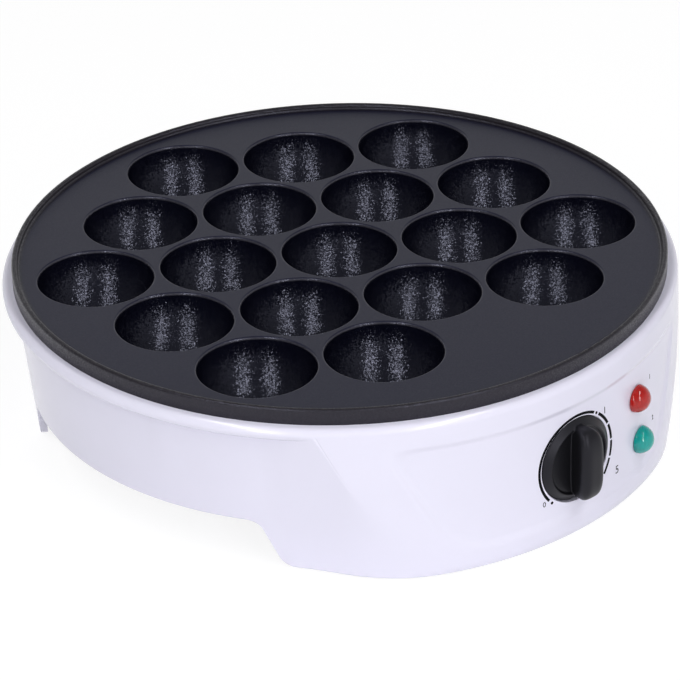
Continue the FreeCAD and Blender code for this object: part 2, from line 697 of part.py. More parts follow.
def make_plate():
    spigot_reach = D.rim_bore - D.spigot_gap
    lip_high = D.plate_top + D.lip_height
    lip_inner = D.plate_reach - D.lip_width
    edge = D.lip_round
    disc = turned("plate_disc", [
        (0, web_low),
        (spigot_reach - D.spigot_wall, web_low),
        (spigot_reach - D.spigot_wall, seat_height - D.spigot_depth),
        (spigot_reach, seat_height - D.spigot_depth),
        (spigot_reach, seat_height),
        (D.plate_reach, seat_height),
        (D.plate_reach, lip_high - edge, edge),
        (D.plate_reach - edge, lip_high),
        (lip_inner + edge, lip_high, edge),
        (lip_inner, lip_high - edge),
        (lip_inner, D.plate_top + edge, -edge),
        (lip_inner - edge, D.plate_top),
        (0, D.plate_top),
    ])
    solids = [disc]
    hollows = []
    for index, (x, y) in enumerate(cup_places()):
        for kind, radius, cap in (("wall", D.cup_mouth + D.cup_wall, -3), ("hollow", D.cup_mouth, 90)):
            ball = doc.addObject("Part::Sphere", f"cup_{kind}_{index}")
            ball.Angle2 = cap
            bind(ball, Radius=radius)
            put(ball, x, y, D.plate_top)
            (solids if kind == "wall" else hollows).append(ball)
    inside = web_low + D.plate_web / 2
    for index, (x, y) in enumerate(post_places()):
        solids.append(rod(f"post_{index}", D.post, x, y, (D.post_low, inside)))
        hole_high = D.post_low - D.pan_sheet - D.spacer_length - D.lug_depth + D.large_length + PAST
        hollows.append(rod(f"post_hole_{index}", large_drill, x, y, (D.post_low - PAST, hole_high)))
    for index, turn in enumerate(clamp_turns()):
        x, y = round_place(D.element_ring + D.clamp_offset, turn)
        solids.append(rod(f"clamp_boss_{index}", D.clamp_boss, x, y, (D.element_height, inside)))
        hole_high = D.element_height - D.clamp_sheet + D.small_length + PAST
        span = (D.element_height - PAST, hole_high)
        hollows.append(rod(f"clamp_hole_{index}", small_drill, x, y, span))
    solids.append(rod("bracket_boss", D.bracket_boss, 0, bracket_boss_y, (bracket_high, inside)))
    hole_high = bracket_high - D.bracket_sheet + D.bracket_screw_length + PAST
    span = (bracket_high - PAST, hole_high)
    hollows.append(rod("bracket_hole", large_drill, 0, bracket_boss_y, span))
    casting = cut("plate_casting", fuse("plate_solids", solids), hollows)
    keep("cooking_plate", round_mouths(casting))


def round_mouths(casting):
    """Rounds the rims of the cups."""
    doc.recompute()
    rims = []
    for number, edge in enumerate(casting.Shape.Edges, start=1):
        if edge.Degenerated or not isinstance(edge.Curve, Part.Circle):
            continue
        level = abs(edge.Curve.Center.z - D.plate_top.value) < 0.001
        if level and abs(edge.Curve.Radius - D.cup_mouth.value) < 0.001:
            rims.append((number, D.cup_edge.value, D.cup_edge.value))
    fillet = doc.addObject("Part::Fillet", "plate_rims")
    fillet.Base = casting
    fillet.Edges = rims
    return fillet


# The heating element, its tabs and clamps, and the reflector below it.


def element_end(side):
    """The X and Y of the element's leg on one side, and the outward direction of its ring's end."""
    turn = -90 + side * D.element_open_angle
    end_x, end_y = round_place(D.element_ring, turn)
    leg_x = end_x - side * (D.element_bend * cosine(D.element_open_angle))
    leg_y = end_y - D.element_bend * sine(D.element_open_angle)
    angle = math.radians(turn.value)
    return end_x, end_y, leg_x, leg_y, Vector(math.cos(angle), math.sin(angle), 0)


leg_high = D.element_height - D.element_bend
leg_end = leg_high - D.element_leg
pin_end = leg_end - D.element_pin_length


def make_element():
    ring = doc.addObject("Part::Torus", "element_ring")
    bind(ring, Radius1=D.element_ring, Radius2=D.element_tube, Angle3=360 - 2 * D.element_open_angle)
    put(ring, 0, 0, D.element_height, Rotation(Vector(0, 0, 1), D.element_open_angle.value - 90))
    pieces = [ring]
    tabs = []
    up = Vector(0, 0, 1)
    for side, hand in ((1, "right"), (-1, "left")):
        end_x, end_y, leg_x, leg_y, outward = element_end(side)
        bend = doc.addObject("Part::Torus", f"element_bend_{hand}")
        bind(bend, Radius1=D.element_bend, Radius2=D.element_tube, Angle3=90)
        axis = outward * side
        put(bend, end_x, end_y, leg_high, Rotation(up, axis.cross(up), axis, "ZXY"))
        pieces.append(bend)
        pieces.append(rod(f"element_leg_{hand}", D.element_tube, leg_x, leg_y, (leg_end, leg_high)))
        pieces.append(rod(f"element_pin_{hand}", D.element_pin, leg_x, leg_y, (pin_end, leg_end)))
        half = D.tab_width / 2
        span = (leg_y - half, leg_y - half + D.tab_length)
        level = (pin_end - D.tab_sheet, pin_end)
        tabs.append(block(f"element_tab_{hand}", (leg_x - half, leg_x + half), span, level))
    keep("heating_element", fuse("element", pieces))
    keep("element_tabs", group("tabs", tabs))


def make_clamps():
    inner = D.element_tube + D.clamp_gap
    outer = inner + D.clamp_sheet
    shoulder = root(outer * outer - D.clamp_sheet * D.clamp_sheet)
    tab = D.clamp_offset + D.clamp_boss
    section = [
        (-outer, 0, outer),
        (0, -outer, outer),
        (shoulder, -D.clamp_sheet),
        (tab, -D.clamp_sheet),
        (tab, 0),
        (inner, 0, -inner),
        (0, -inner, -inner),
        (-inner, 0),
    ]
    clamps = []
    screws = []
    for index, turn in enumerate(clamp_turns()):
        x, y = round_place(D.element_ring, turn)
        strap = drawn(f"clamp_strap_{index}", "XZ_Plane", section, D.clamp_width / -2, D.clamp_width)
        put(strap, x, y, D.element_height, Rotation(Vector(0, 0, 1), turn.value))
        hole_x, hole_y = round_place(D.element_ring + D.clamp_offset, turn)
        low = D.element_height - D.clamp_sheet
        span = (low - PAST, D.element_height + PAST)
        hole = rod(f"clamp_drill_{index}", small_drill, hole_x, hole_y, span)
        clamps.append(cut(f"clamp_{index}", strap, [hole]))
        sizes = (D.small_shank, D.small_head, D.small_head_length, D.small_length)
        screws.append(screw(f"clamp_screw_{index}", *sizes, hole_x, hole_y, low))
    keep("element_clamps", group("clamps", clamps))
    keep("element_clamp_screws", group("clamp_screws", screws))


pan_flange_low = D.post_low - D.pan_sheet
lug_high = pan_flange_low - D.spacer_length
lug_low = lug_high - D.lug_depth


def make_reflector():
    low = D.pan_floor_low
    pan = turned("pan", [
        (0, low),
        (D.pan_floor, low),
        (D.pan_shoulder, pan_flange_low),
        (D.pan_reach, pan_flange_low),
        (D.pan_reach, D.post_low),
        (D.pan_shoulder - D.pan_sheet / 2, D.post_low),
        (D.pan_floor - D.pan_sheet / 2, low + D.pan_sheet),
        (0, low + D.pan_sheet),
    ])
    half = D.pan_notch_half
    notch_ys = (-D.pan_reach - PAST, -D.pan_notch_start)
    tools = [block("pan_notch", (-half, half), notch_ys, (low - PAST, D.post_low + PAST))]
    for hand, side in (("right", 1), ("left", -1)):
        leg_x, leg_y = element_end(side)[2:4]
        span = (low - PAST, low + D.pan_sheet + PAST)
        tools.append(rod(f"pan_leg_{hand}", D.element_tube + D.pan_leg_gap, leg_x, leg_y, span))
    for index, (x, y) in enumerate(post_places()):
        span = (pan_flange_low - PAST, D.post_low + PAST)
        tools.append(rod(f"pan_post_hole_{index}", large_drill, x, y, span))
    for index, y in enumerate(fuse_rivet_ys()):
        span = (low - PAST, low + D.pan_sheet + PAST)
        tools.append(rod(f"pan_rivet_hole_{index}", small_drill, D.fuse_x, y, span))
    keep("heat_reflector", cut("reflector", pan, tools))


def make_plate_mounting():
    """Ceramic spacers between the reflector and the housing's lugs, and the screws through them."""
    spacers = []
    screws = []
    for index, (x, y) in enumerate(post_places()):
        ring = rod(f"spacer_ring_{index}", D.post, x, y, (lug_high, pan_flange_low))
        bore = rod(f"spacer_bore_{index}", large_drill, x, y, (lug_high - PAST, pan_flange_low + PAST))
        spacers.append(cut(f"spacer_{index}", ring, [bore]))
        sizes = (D.large_shank, D.large_head, D.large_head_length, D.large_length)
        screws.append(screw(f"plate_screw_{index}", *sizes, x, y, lug_low))
    keep("ceramic_spacers", group("spacers", spacers))
    keep("plate_screws", group("screws_plate", screws))


# The housing.


def tower_places():
    """The places of the six screw towers and the height of the cover's face below each."""
    back_x, back_y = round_place(D.tower_ring, D.tower_back_angle)
    hub_x, hub_y = pod_hub()
    reach = D.pod_corner - D.tower_front_inset
    front_x = hub_x + reach * sine(D.tower_front_angle)
    front_y = hub_y - reach * cosine(D.tower_front_angle)
    places = []
    for side in (1, -1):
        places.append((side * front_x, front_y, D.cover_well))
        places.append((side * D.tower_ring, as_size(0), D.cover_high))
        places.append((side * back_x, back_y, D.cover_high))
    return places


def wall_beyond(x, y, floor):
    """The centre that the wall behind a tower curves round, and the radius to the wall's middle."""
    if floor is D.cover_high:
        return as_size(0), as_size(0), skirt_at(floor) - D.wall / 2
    hub_x, hub_y = pod_hub()
    side = math.copysign(1, x.value)
    return side * hub_x, hub_y, D.pod_corner - D.wall / 2


def lamp_seat(sideways, height):
    """The place of a lamp's axis on the panel and the direction it faces."""
    reach = panel_at(height)
    y = -root(reach * reach - sideways * sideways)
    return sideways, y, Vector(sideways.value, y.value, 0)


LAMPS = (
    ("red", D.lamp_red_x, D.lamp_red_height),
    ("green", D.lamp_green_x, D.lamp_green_height),
)


def make_arch():
    """The cutter that opens the skirt on both sides, between the front and the back foot."""
    low = D.skirt_low
    past = 20
    cutter = drawn("arch", "YZ_Plane", [
        (D.arch_front_low - past, low - past),
        (D.arch_back_low + past, low - past),
        (D.arch_back_low + past, low),
        (D.arch_back_low, low),
        (D.arch_back_high, D.arch_top),
        (D.arch_front_high, D.arch_top),
        (D.arch_front_low, low),
        (D.arch_front_low - past, low),
    ], -D.pod_reach_low, 2 * D.pod_reach_low)

    def at_height(level):
        def chosen(edge):
            ends = [vertex.Point for vertex in edge.Vertexes]
            along = len(ends) == 2 and abs(ends[0].x - ends[1].x) > 1
            inner = D.arch_front_low.value - 1 < ends[0].y < D.arch_back_low.value + 1
            return along and inner and abs(ends[0].z - level.value) < 0.001
        return chosen

    soften(cutter, "arch_high_rounds", D.arch_high_round, at_height(D.arch_top))
    return soften(cutter, "arch_low_rounds", D.arch_low_round, at_height(low))


def make_recess():
    """The cutter of the shallow recess in the pod's face."""
    shape = drawn("recess_shape", "XZ_Plane", [
        (-D.recess_half_low, D.recess_low),
        (D.recess_half_low, D.recess_low),
        (D.recess_half_mid, D.recess_mid),
        (D.recess_half_top, D.recess_top),
        (-D.recess_half_top, D.recess_top),
        (-D.recess_half_mid, D.recess_mid),
    ], D.cover_well_start, D.pod_reach_low)

    def upright(edge):
        ends = [vertex.Point for vertex in edge.Vertexes]
        return len(ends) == 2 and abs(ends[0].y - ends[1].y) > 1

    soften(shape, "recess_corners", D.recess_depth * 6, upright)
    margin = 10
    sleeve = turned("recess_floor", [
        (panel_at(D.recess_low), D.recess_low),
        (D.pod_reach_low + margin, D.recess_low),
        (D.pod_reach_low + margin, D.recess_top),
        (panel_at(D.recess_top), D.recess_top),
    ])
    return common("recess", shape, sleeve)


def make_knob_pad():
    """The thicker wall behind the knob's seat, curved as the panel is."""
    reach = D.knob_seat + D.knob_pad
    low = D.knob_height - reach
    high = D.knob_height + reach
    skin = D.wall / 4
    deep = D.knob_seat_depth + D.knob_pad
    sleeve = turned("knob_pad_sleeve", [
        (panel_at(low) - deep, low),
        (panel_at(low) - skin, low),
        (panel_at(high) - skin, high),
        (panel_at(high) - deep, high),
    ])
    disc = rod_along_y("knob_pad_disc", reach, 0, (-D.pod_reach_low, -D.cover_well_start), D.knob_height)
    return common("knob_pad", disc, sleeve)


def make_housing():
    low = D.skirt_low
    skin = turned("skin", [
        (0, low),
        (D.skirt_reach, low),
        (skirt_at(bead_height - D.bead_round), bead_height - D.bead_round),
        (bead_centre, bead_height - D.bead_round, D.bead_round),
        (D.bead_reach, bead_height, D.bead_round),
        (bead_centre, seat_height),
        (0, seat_height),
    ])
    pod = pod_block("pod", as_size(0), bead_height)
    crown = turned("pod_crown", [
        (0, bead_height),
        (D.bead_reach, bead_height, D.bead_round),
        (bead_centre, seat_height),
        (0, seat_height),
    ])
    room = interior("room", D.wall, low - PAST)
    shell = cut("shell", fuse("shell_solid", [skin, pod, crown]), [room, make_arch(), make_recess()])
    fittings = [shell]
    holes = []
    for index, (x, y) in enumerate(post_places()):
        turn = math.degrees(math.atan2(y.value, x.value))
        reach = skirt_at(lug_low) - D.wall / 2
        lug = doc.addObject("Part::Box", f"lug_{index}")
        bind(lug, Length=reach - D.lug_inner, Width=2 * D.lug_half, Height=D.lug_depth)
        unit_x = x / D.post_ring
        unit_y = y / D.post_ring
        corner_x = unit_x * D.lug_inner + unit_y * D.lug_half
        corner_y = unit_y * D.lug_inner - unit_x * D.lug_half
        put(lug, corner_x, corner_y, lug_low, Rotation(Vector(0, 0, 1), turn))
        fittings.append(lug)
        holes.append(rod(f"lug_hole_{index}", large_drill, x, y, (lug_low - PAST, lug_high + PAST)))
    for index, (x, y, floor) in enumerate(tower_places()):
        top = floor + D.tower_height
        fittings.append(rod(f"tower_{index}", D.tower, x, y, (floor, top)))
        hub_x, hub_y, reach = wall_beyond(x, y, floor)
        across = x - hub_x
        along = y - hub_y
        turn = math.degrees(math.atan2(along.value, across.value))
        distance = root(across * across + along * along)
        rib = doc.addObject("Part::Box", f"tower_rib_{index}")
        bind(rib, Length=reach - distance, Width=D.rib_sheet, Height=D.tower_height)
        rib_x = x + along / distance * (D.rib_sheet / 2)
        rib_y = y - across / distance * (D.rib_sheet / 2)
        put(rib, rib_x, rib_y, floor, Rotation(Vector(0, 0, 1), turn))
        fittings.append(rib)
        span = (floor - PAST, floor - D.cover_sheet + D.small_length + PAST)
        holes.append(rod(f"tower_hole_{index}", small_drill, x, y, span))
    for colour, sideways, height in LAMPS:
        x, y, direction = lamp_seat(sideways, height)
        hole = turned(f"lamp_hole_{colour}", [
            (0, -2 * D.lens_barrel_length),
            (D.lens_barrel + D.hole_gap, -2 * D.lens_barrel_length),
            (D.lens_barrel + D.hole_gap, D.lens_barrel_length),
            (0, D.lens_barrel_length),
        ])
        holes.append(put(hole, x, y, height, facing(direction)))
    fittings.append(make_knob_pad())
    span = (-D.pod_reach_low - PAST, -seat_reach)
    holes.append(rod_along_y("knob_seat", D.knob_seat, 0, span, D.knob_height))
    knob_hole = D.knob_hub + D.knob_hole_gap
    span = (-D.pod_reach_low - PAST, -D.bracket_front)
    holes.append(rod_along_y("knob_hole", knob_hole, 0, span, D.knob_height))
    span = (D.gland_seat - 2 * D.wall - 2, D.gland_seat + 2 * D.wall)
    holes.append(rod_along_y("gland_hole", D.gland_barrel + D.hole_gap, 0, span, D.gland_height))
    span = (D.gland_seat, D.gland_seat + 2 * D.wall)
    holes.append(rod_along_y("gland_spot", D.gland_flange + 2 * D.hole_gap, 0, span, D.gland_height))
    keep("housing", cut("housing_shell", fuse("housing_solid", fittings), holes))


# The base cover, its screws and feet.


def leg_places():
    """The places of the four legs and the height of the cover's face above each."""
    front = D.pod_reach_low - D.leg_front_inset
    back = D.skirt_reach - D.leg_back_inset
    front_x = front * sine(D.leg_front_angle)
    front_y = -(front * cosine(D.leg_front_angle))
    back_x = back * sine(D.leg_back_angle)
    back_y = back * cosine(D.leg_back_angle)
    places = []
    for side in (1, -1):
        places.append((side * front_x, front_y, D.cover_well))
        places.append((side * back_x, back_y, D.cover_high))
    return places


def make_cover():
    reach = D.pod_reach_low
    sheet = D.cover_sheet
    start = -D.cover_well_start
    low = D.cover_well - sheet
    slabs = [
        block("cover_floor", (-reach, reach), (start - sheet, reach), (D.cover_high - sheet, D.cover_high)),
        block("cover_step", (-reach, reach), (start - sheet, start), (low, D.cover_high)),
        block("cover_front", (-reach, reach), (-reach, start), (low, D.cover_well)),
    ]
    room = interior("cover_room", D.wall + D.cover_gap, D.skirt_low - PAST)
    plates = common("cover_plates", fuse("cover_slabs", slabs), room)
    solids = [plates]
    holes = []
    for index, (x, y, floor) in enumerate(leg_places()):
        solids.append(rod(f"leg_{index}", D.leg, x, y, (D.leg_low, floor - sheet / 2)))
        holes.append(rod(f"leg_pocket_{index}", D.foot + D.hole_gap, x, y, (D.leg_low - PAST, D.foot_height)))
        stem_high = D.foot_height + D.foot_stem_length
        span = (D.foot_height, stem_high + D.hole_gap)
        holes.append(rod(f"leg_stem_{index}", D.foot_stem + D.hole_gap, x, y, span))
    for index, (x, y, floor) in enumerate(tower_places()):
        span = (floor - sheet - PAST, floor + PAST)
        holes.append(rod(f"cover_hole_{index}", small_drill, x, y, span))
    for side, hand in ((1, "right"), (-1, "left")):
        x = side * D.grip_screw_x
        top = D.cover_high + D.grip_post_height
        solids.append(rod(f"grip_post_{hand}", D.grip_post, x, D.grip_y, (D.cover_high - sheet / 2, top)))
        span = (D.cover_high - sheet / 2, top + PAST)
        holes.append(rod(f"grip_hole_{hand}", small_drill, x, D.grip_y, span))
    span = (D.cover_high - sheet - PAST, D.cover_high + PAST)
    holes.append(rod("block_hole", small_drill, 0, D.block_y, span))
    count = int(D.vent_count.value)
    for index in range(count):
        x = D.vent_pitch * (index - (count - 1) / 2)
        xs = (x - D.vent_half_width, x + D.vent_half_width)
        holes.append(block(f"vent_{index}", xs, (D.vent_length / -2, D.vent_length / 2), span))
    keep("base_cover", cut("cover", fuse("cover_solid", solids), holes))


def make_base_fasteners():
    screws = []
    for index, (x, y, floor) in enumerate(tower_places()):
        sizes = (D.small_shank, D.small_head, D.small_head_length, D.small_length)
        screws.append(screw(f"base_screw_{index}", *sizes, x, y, floor - D.cover_sheet))
    keep("base_screws", group("screws_base", screws))
    feet = []
    for index, (x, y, _) in enumerate(leg_places()):
        bevel = D.foot_height / 5
        foot = turned(f"foot_{index}", [
            (0, 0),
            (D.foot - bevel, 0),
            (D.foot, bevel),
            (D.foot, D.foot_height),
            (D.foot_stem, D.foot_height),
            (D.foot_stem, D.foot_height + D.foot_stem_length),
            (0, D.foot_height + D.foot_stem_length),
        ])
        feet.append(put(foot, x, y, 0))
    keep("rubber_feet", group("feet", feet))


# The thermostat, from the bracket forward to the knob.

bracket_back = D.bracket_front - D.bracket_sheet
collar_front = bracket_back - D.bush_flange_length
shaft_tip = collar_front - D.shaft_collar_length - 1.0


def make_bracket():
    inner = D.bracket_front - D.bracket_reach
    low = bracket_high - D.bracket_sheet
    angle = drawn("bracket_angle", "YZ_Plane", [
        (-D.bracket_front, D.bracket_low),
        (-bracket_back, D.bracket_low),
        (-bracket_back, low),
        (-inner, low),
        (-inner, bracket_high),
        (-D.bracket_front, bracket_high),
    ], -D.bracket_half, 2 * D.bracket_half)
    span = (-D.bracket_front - PAST, PAST - bracket_back)
    holes = [
        rod_along_y("bracket_bush_hole", D.bush_barrel + D.hole_gap, 0, span, D.knob_height),
        rod_along_y("bracket_rivet_hole", D.rivet + D.hole_gap, 0, span, D.stack_height),
        rod("bracket_screw_hole", large_drill, 0, bracket_boss_y, (low - PAST, bracket_high + PAST)),
    ]
    keep("thermostat_bracket", cut("bracket", angle, holes))
    sizes = (D.large_shank, D.large_head, D.large_head_length, D.bracket_screw_length)
    keep("bracket_screw", screw("screw_bracket", *sizes, 0, bracket_boss_y, low))


def make_contact_stack():
    """Insulators and contact blades in turn along one rivet, behind the bracket."""
    insulators = []
    blades = []
    count = int(D.insulator_count.value)
    for index in range(count):
        front = bracket_back - (D.insulator_length + D.blade_sheet) * index
        back = front - D.insulator_length
        bore = D.rivet + D.hole_gap
        ring = rod_along_y(f"insulator_ring_{index}", D.insulator, 0, (-front, -back), D.stack_height)
        hole = rod_along_y(f"insulator_bore_{index}", bore, 0, (-front - PAST, PAST - back), D.stack_height)
        insulators.append(cut(f"insulator_{index}", ring, [hole]))
        if index < count - 1:
            rear = back - D.blade_sheet
            half = D.blade_half
            zs = (D.blade_low, D.stack_height + D.blade_over)
            strip = block(f"blade_strip_{index}", (-half, half), (-back, -rear), zs)
            eye = rod_along_y(f"blade_eye_{index}", bore, 0, (-back - PAST, PAST - rear), D.stack_height)
            blades.append(cut(f"blade_{index}", strip, [eye]))
    keep("stack_insulators", group("insulators", insulators))
    keep("contact_blades", group("blades", blades))
    length = (D.insulator_length + D.blade_sheet) * count - D.blade_sheet
    head = D.rivet_head_length
    rivet = turned("stack_pin", [
        (0, -head),
        (D.rivet_head, -head),
        (D.rivet_head, 0),
        (D.rivet, 0),
        (D.rivet, length + D.bracket_sheet),
        (D.rivet_head, length + D.bracket_sheet),
        (D.rivet_head, length + D.bracket_sheet + head),
        (0, length + D.bracket_sheet + head),
    ])
    keep("stack_rivet", put(rivet, 0, -D.bracket_front, D.stack_height, BACKWARD))


def make_bush():
    bore = D.shaft + D.shaft_fit
    flange = D.bush_flange_length
    bush = turned("bush", [
        (bore, 0),
        (D.bush_flange, 0),
        (D.bush_flange, flange),
        (D.bush_barrel, flange),
        (D.bush_barrel, flange + D.bush_length),
        (bore, flange + D.bush_length),
    ])
    keep("shaft_bush", put(bush, 0, -collar_front, D.knob_height, FORWARD))
    prism = doc.addObject("Part::Prism", "nut_prism")
    prism.Polygon = 6
    bind(prism, Circumradius=D.nut_flats / math.sqrt(3), Height=D.nut_length)
    put(prism, 0, -D.bracket_front, D.knob_height, FORWARD)
    span = (-D.bracket_front - D.nut_length - PAST, PAST - D.bracket_front)
    hole = rod_along_y("nut_thread", D.bush_barrel + D.hole_gap / 2, 0, span, D.knob_height)
    keep("bush_nut", cut("nut", prism, [hole]))


def make_shaft():
    tip = shaft_tip
    collar = collar_front - D.hole_gap
    end = knob_back + D.knob_bore_depth - 2 * D.hole_gap
    rod_length = end - tip
    collar_end = collar - tip
    stem = turned("shaft_stem", [
        (0, 0),
        (D.shaft * 0.5, 0),
        (D.shaft * 0.5, collar_end - D.shaft_collar_length),
        (D.shaft_collar, collar_end - D.shaft_collar_length),
        (D.shaft_collar, collar_end),
        (D.shaft, collar_end),
        (D.shaft, rod_length),
        (0, rod_length),
    ])
    put(stem, 0, -tip, D.knob_height, FORWARD)
    top = D.knob_height + D.shaft_flat
    ys = (-end - PAST, D.knob_hub_length - knob_back)
    flat = block("shaft_flat_cut", (-D.shaft, D.shaft), ys, (top, top + D.shaft))
    keep("thermostat_shaft", cut("shaft_rod", stem, [flat]))


def make_knob():
    ring_inner = D.knob_ring - D.knob_ring_width
    bore = D.shaft + D.shaft_fit
    edge = D.knob_flange_edge
    dish = turned("knob_dish", [
        (0, -D.knob_hub_length),
        (D.knob_hub, -D.knob_hub_length),
        (D.knob_hub, 0),
        (D.knob_flange - edge / 3, 0),
        (D.knob_flange, edge / 3),
        (D.knob_flange, edge),
        (D.knob_ring, D.knob_ring_height),
        (ring_inner, D.knob_ring_height),
        (ring_inner, D.knob_floor),
        (0, D.knob_floor),
    ])
    dome = turned("knob_dome", [
        (0, 0),
        (D.knob_ring, 0),
        (D.knob_ring, D.knob_ring_height),
        (D.knob_grip_tip, D.knob_grip_height - D.knob_grip_round, D.knob_grip_round * 1.5),
        (D.knob_grip_tip - D.knob_grip_round, D.knob_grip_height),
        (0, D.knob_grip_height),
    ])
    half = D.knob_grip_half
    grip = drawn("knob_grip", "XY_Plane", [
        (-half, -D.knob_ring),
        (half, -D.knob_ring),
        (half, D.knob_ring),
        (-half, D.knob_ring),
    ], 0, D.knob_grip_height)

    def long_edge(edge):
        ends = [vertex.Point for vertex in edge.Vertexes]
        high = min(end.z for end in ends) > D.knob_grip_height.value - 0.01
        return len(ends) == 2 and high and abs(ends[0].y - ends[1].y) > 1

    soften(grip, "knob_grip_edges", D.knob_grip_round, long_edge)
    body = fuse("knob_body", [dish, common("knob_blade", grip, dome)])
    bore_low = -D.knob_hub_length - PAST
    drill = rod("knob_drill", bore, 0, 0, (bore_low, D.knob_bore_depth))
    flat = D.shaft_flat + D.clip_sheet + 2 * D.clip_gap
    key = block("knob_key", (-bore - PAST, bore + PAST), (flat, bore + PAST), (0, D.knob_bore_depth + PAST))
    socket = cut("knob_socket", drill, [key])
    knob = cut("knob_moulding", body, [socket])
    keep("control_knob", put(knob, 0, -knob_back, D.knob_height, FORWARD))
    low = D.knob_height + D.shaft_flat + D.clip_gap
    ys = (-knob_back - D.knob_bore_depth + 2 * D.hole_gap, -knob_back - 2 * D.hole_gap)
    width = D.clip_width / 2
    keep("knob_clip", block("clip_leaf", (-width, width), ys, (low, low + D.clip_sheet)))


# The pilot lamps.


def make_lamps():
    retainers = []
    sleeves = []
    for colour, sideways, height in LAMPS:
        x, y, direction = lamp_seat(sideways, height)
        turn = facing(direction)
        seat = D.lens_seat
        inner = D.lens_barrel - D.lens_wall
        sunk = D.lens - D.lens_dome + seat
        brim = root(D.lens * D.lens - sunk * sunk)
        lens = turned(f"lens_{colour}", [
            (inner, -D.lens_barrel_length),
            (D.lens_barrel, -D.lens_barrel_length),
            (D.lens_barrel, seat),
            (brim, seat, D.lens),
            (0, D.lens_dome),
            (0, D.neon_front + D.lens_wall),
            (inner * 0.7, D.neon_front + D.lens_wall),
            (inner, D.neon_front),
        ])
        keep(f"{colour}_lens", put(lens, x, y, height, turn))
        panel = D.wall - D.recess_depth
        behind = -panel - D.retainer_gap
        retainer = turned(f"retainer_{colour}", [
            (D.lens_barrel + D.hole_gap / 2, behind - D.retainer_sheet),
            (D.retainer, behind - D.retainer_sheet),
            (D.retainer, behind),
            (D.lens_barrel + D.hole_gap / 2, behind),
        ])
        retainers.append(put(retainer, x, y, height, turn))
        front = D.neon_front
        neon = turned(f"neon_{colour}", [
            (0, front - D.neon_length),
            (D.neon, front - D.neon_length),
            (D.neon, front - D.neon, D.neon),
            (0, front),
        ])
        keep(f"{colour}_neon_lamp", put(neon, x, y, height, turn))
        sleeve = turned(f"sleeve_{colour}", [
            (D.neon + D.hole_gap / 4, -D.sleeve_start - D.sleeve_length),
            (D.neon + D.hole_gap / 4 + D.sleeve_wall, -D.sleeve_start - D.sleeve_length),
            (D.neon + D.hole_gap / 4 + D.sleeve_wall, -D.sleeve_start),
            (D.neon + D.hole_gap / 4, -D.sleeve_start),
        ])
        sleeves.append(put(sleeve, x, y, height, turn))
    keep("lens_retainers", group("retainers", retainers))
    keep("lamp_sleeves", group("sleeves", sleeves))


# The wiring side: gland, cord grip, terminal block, fuse and leads.


def make_gland():
    gland = turned("gland", [
        (D.gland_bore, -D.gland_length),
        (D.gland_barrel, -D.gland_length),
        (D.gland_ridge, -D.gland_ridge_seat - D.retainer_sheet),
        (D.gland_ridge, -D.gland_ridge_seat),
        (D.gland_barrel, -D.gland_ridge_seat),
        (D.gland_barrel, 0),
        (D.gland_flange, 0),
        (D.gland_flange, D.gland_flange_length * 0.6),
        (D.gland_barrel, D.gland_flange_length),
        (D.gland_bore, D.gland_flange_length),
    ])
    keep("cord_gland", put(gland, 0, D.gland_seat, D.gland_height, BACKWARD))


def make_grip():
    low = D.cover_high + D.grip_post_height
    half = D.grip_depth / 2
    ys = (D.grip_y - half, D.grip_y + half)
    bar = block("grip_bar", (-D.grip_half, D.grip_half), ys, (low, low + D.grip_sheet))
    holes = []
    screws = []
    for side, hand in ((1, "right"), (-1, "left")):
        x = side * D.grip_screw_x
        span = (low - PAST, low + D.grip_sheet + PAST)
        holes.append(rod(f"grip_drill_{hand}", small_drill, x, D.grip_y, span))
        sizes = (D.small_shank, D.small_head, D.small_head_length, D.grip_screw_length)
        screws.append(screw(f"grip_screw_{hand}", *sizes, x, D.grip_y, low + D.grip_sheet, DOWN))
    keep("cord_grip", cut("grip", bar, holes))
    keep("cord_grip_screws", group("screws_grip", screws))


def make_terminal_block():
    high = D.cover_high + D.block_height
    xs = (-D.block_half_width, D.block_half_width)
    ys = (D.block_y - D.block_half_depth, D.block_y + D.block_half_depth)
    body = block("block_body", xs, ys, (D.cover_high, high))
    level = D.cover_high + D.block_lead_height
    holes = [rod("block_drill", small_drill, 0, D.block_y, (D.cover_high - PAST, high + PAST))]
    tubes = []
    for side, hand in ((1, "right"), (-1, "left")):
        x = side * D.block_pole
        bore = (ys[0] - PAST, ys[1] + PAST)
        holes.append(rod_along_y(f"block_pole_{hand}", D.block_tube + D.hole_gap, x, bore, level))
        holes.append(rod(f"block_access_{hand}", D.block_tube, x, D.block_y, (level, high + PAST)))
        barrel = rod_along_y(f"block_tube_{hand}", D.block_tube, x, ys, level)
        hollow = rod_along_y(f"block_tube_bore_{hand}", D.lead + D.hole_gap, x, bore, level)
        tubes.append(cut(f"pole_{hand}", barrel, [hollow]))
    keep("terminal_block", cut("block", body, holes))
    keep("terminal_tubes", group("poles", tubes))
    length = D.block_height + D.cover_sheet
    sizes = (D.small_shank, D.small_head, D.small_head_length, length)
    keep("terminal_block_screw", screw("screw_block", *sizes, 0, D.block_y, high, DOWN))


fuse_height = D.pan_floor_low - D.fuse - D.fuse_gap


def fuse_rivet_ys():
    reach = D.fuse + D.fuse_gap + D.fuse_clip_sheet + D.fuse_clip_tab / 2
    return [D.fuse_y - reach, D.fuse_y + reach]


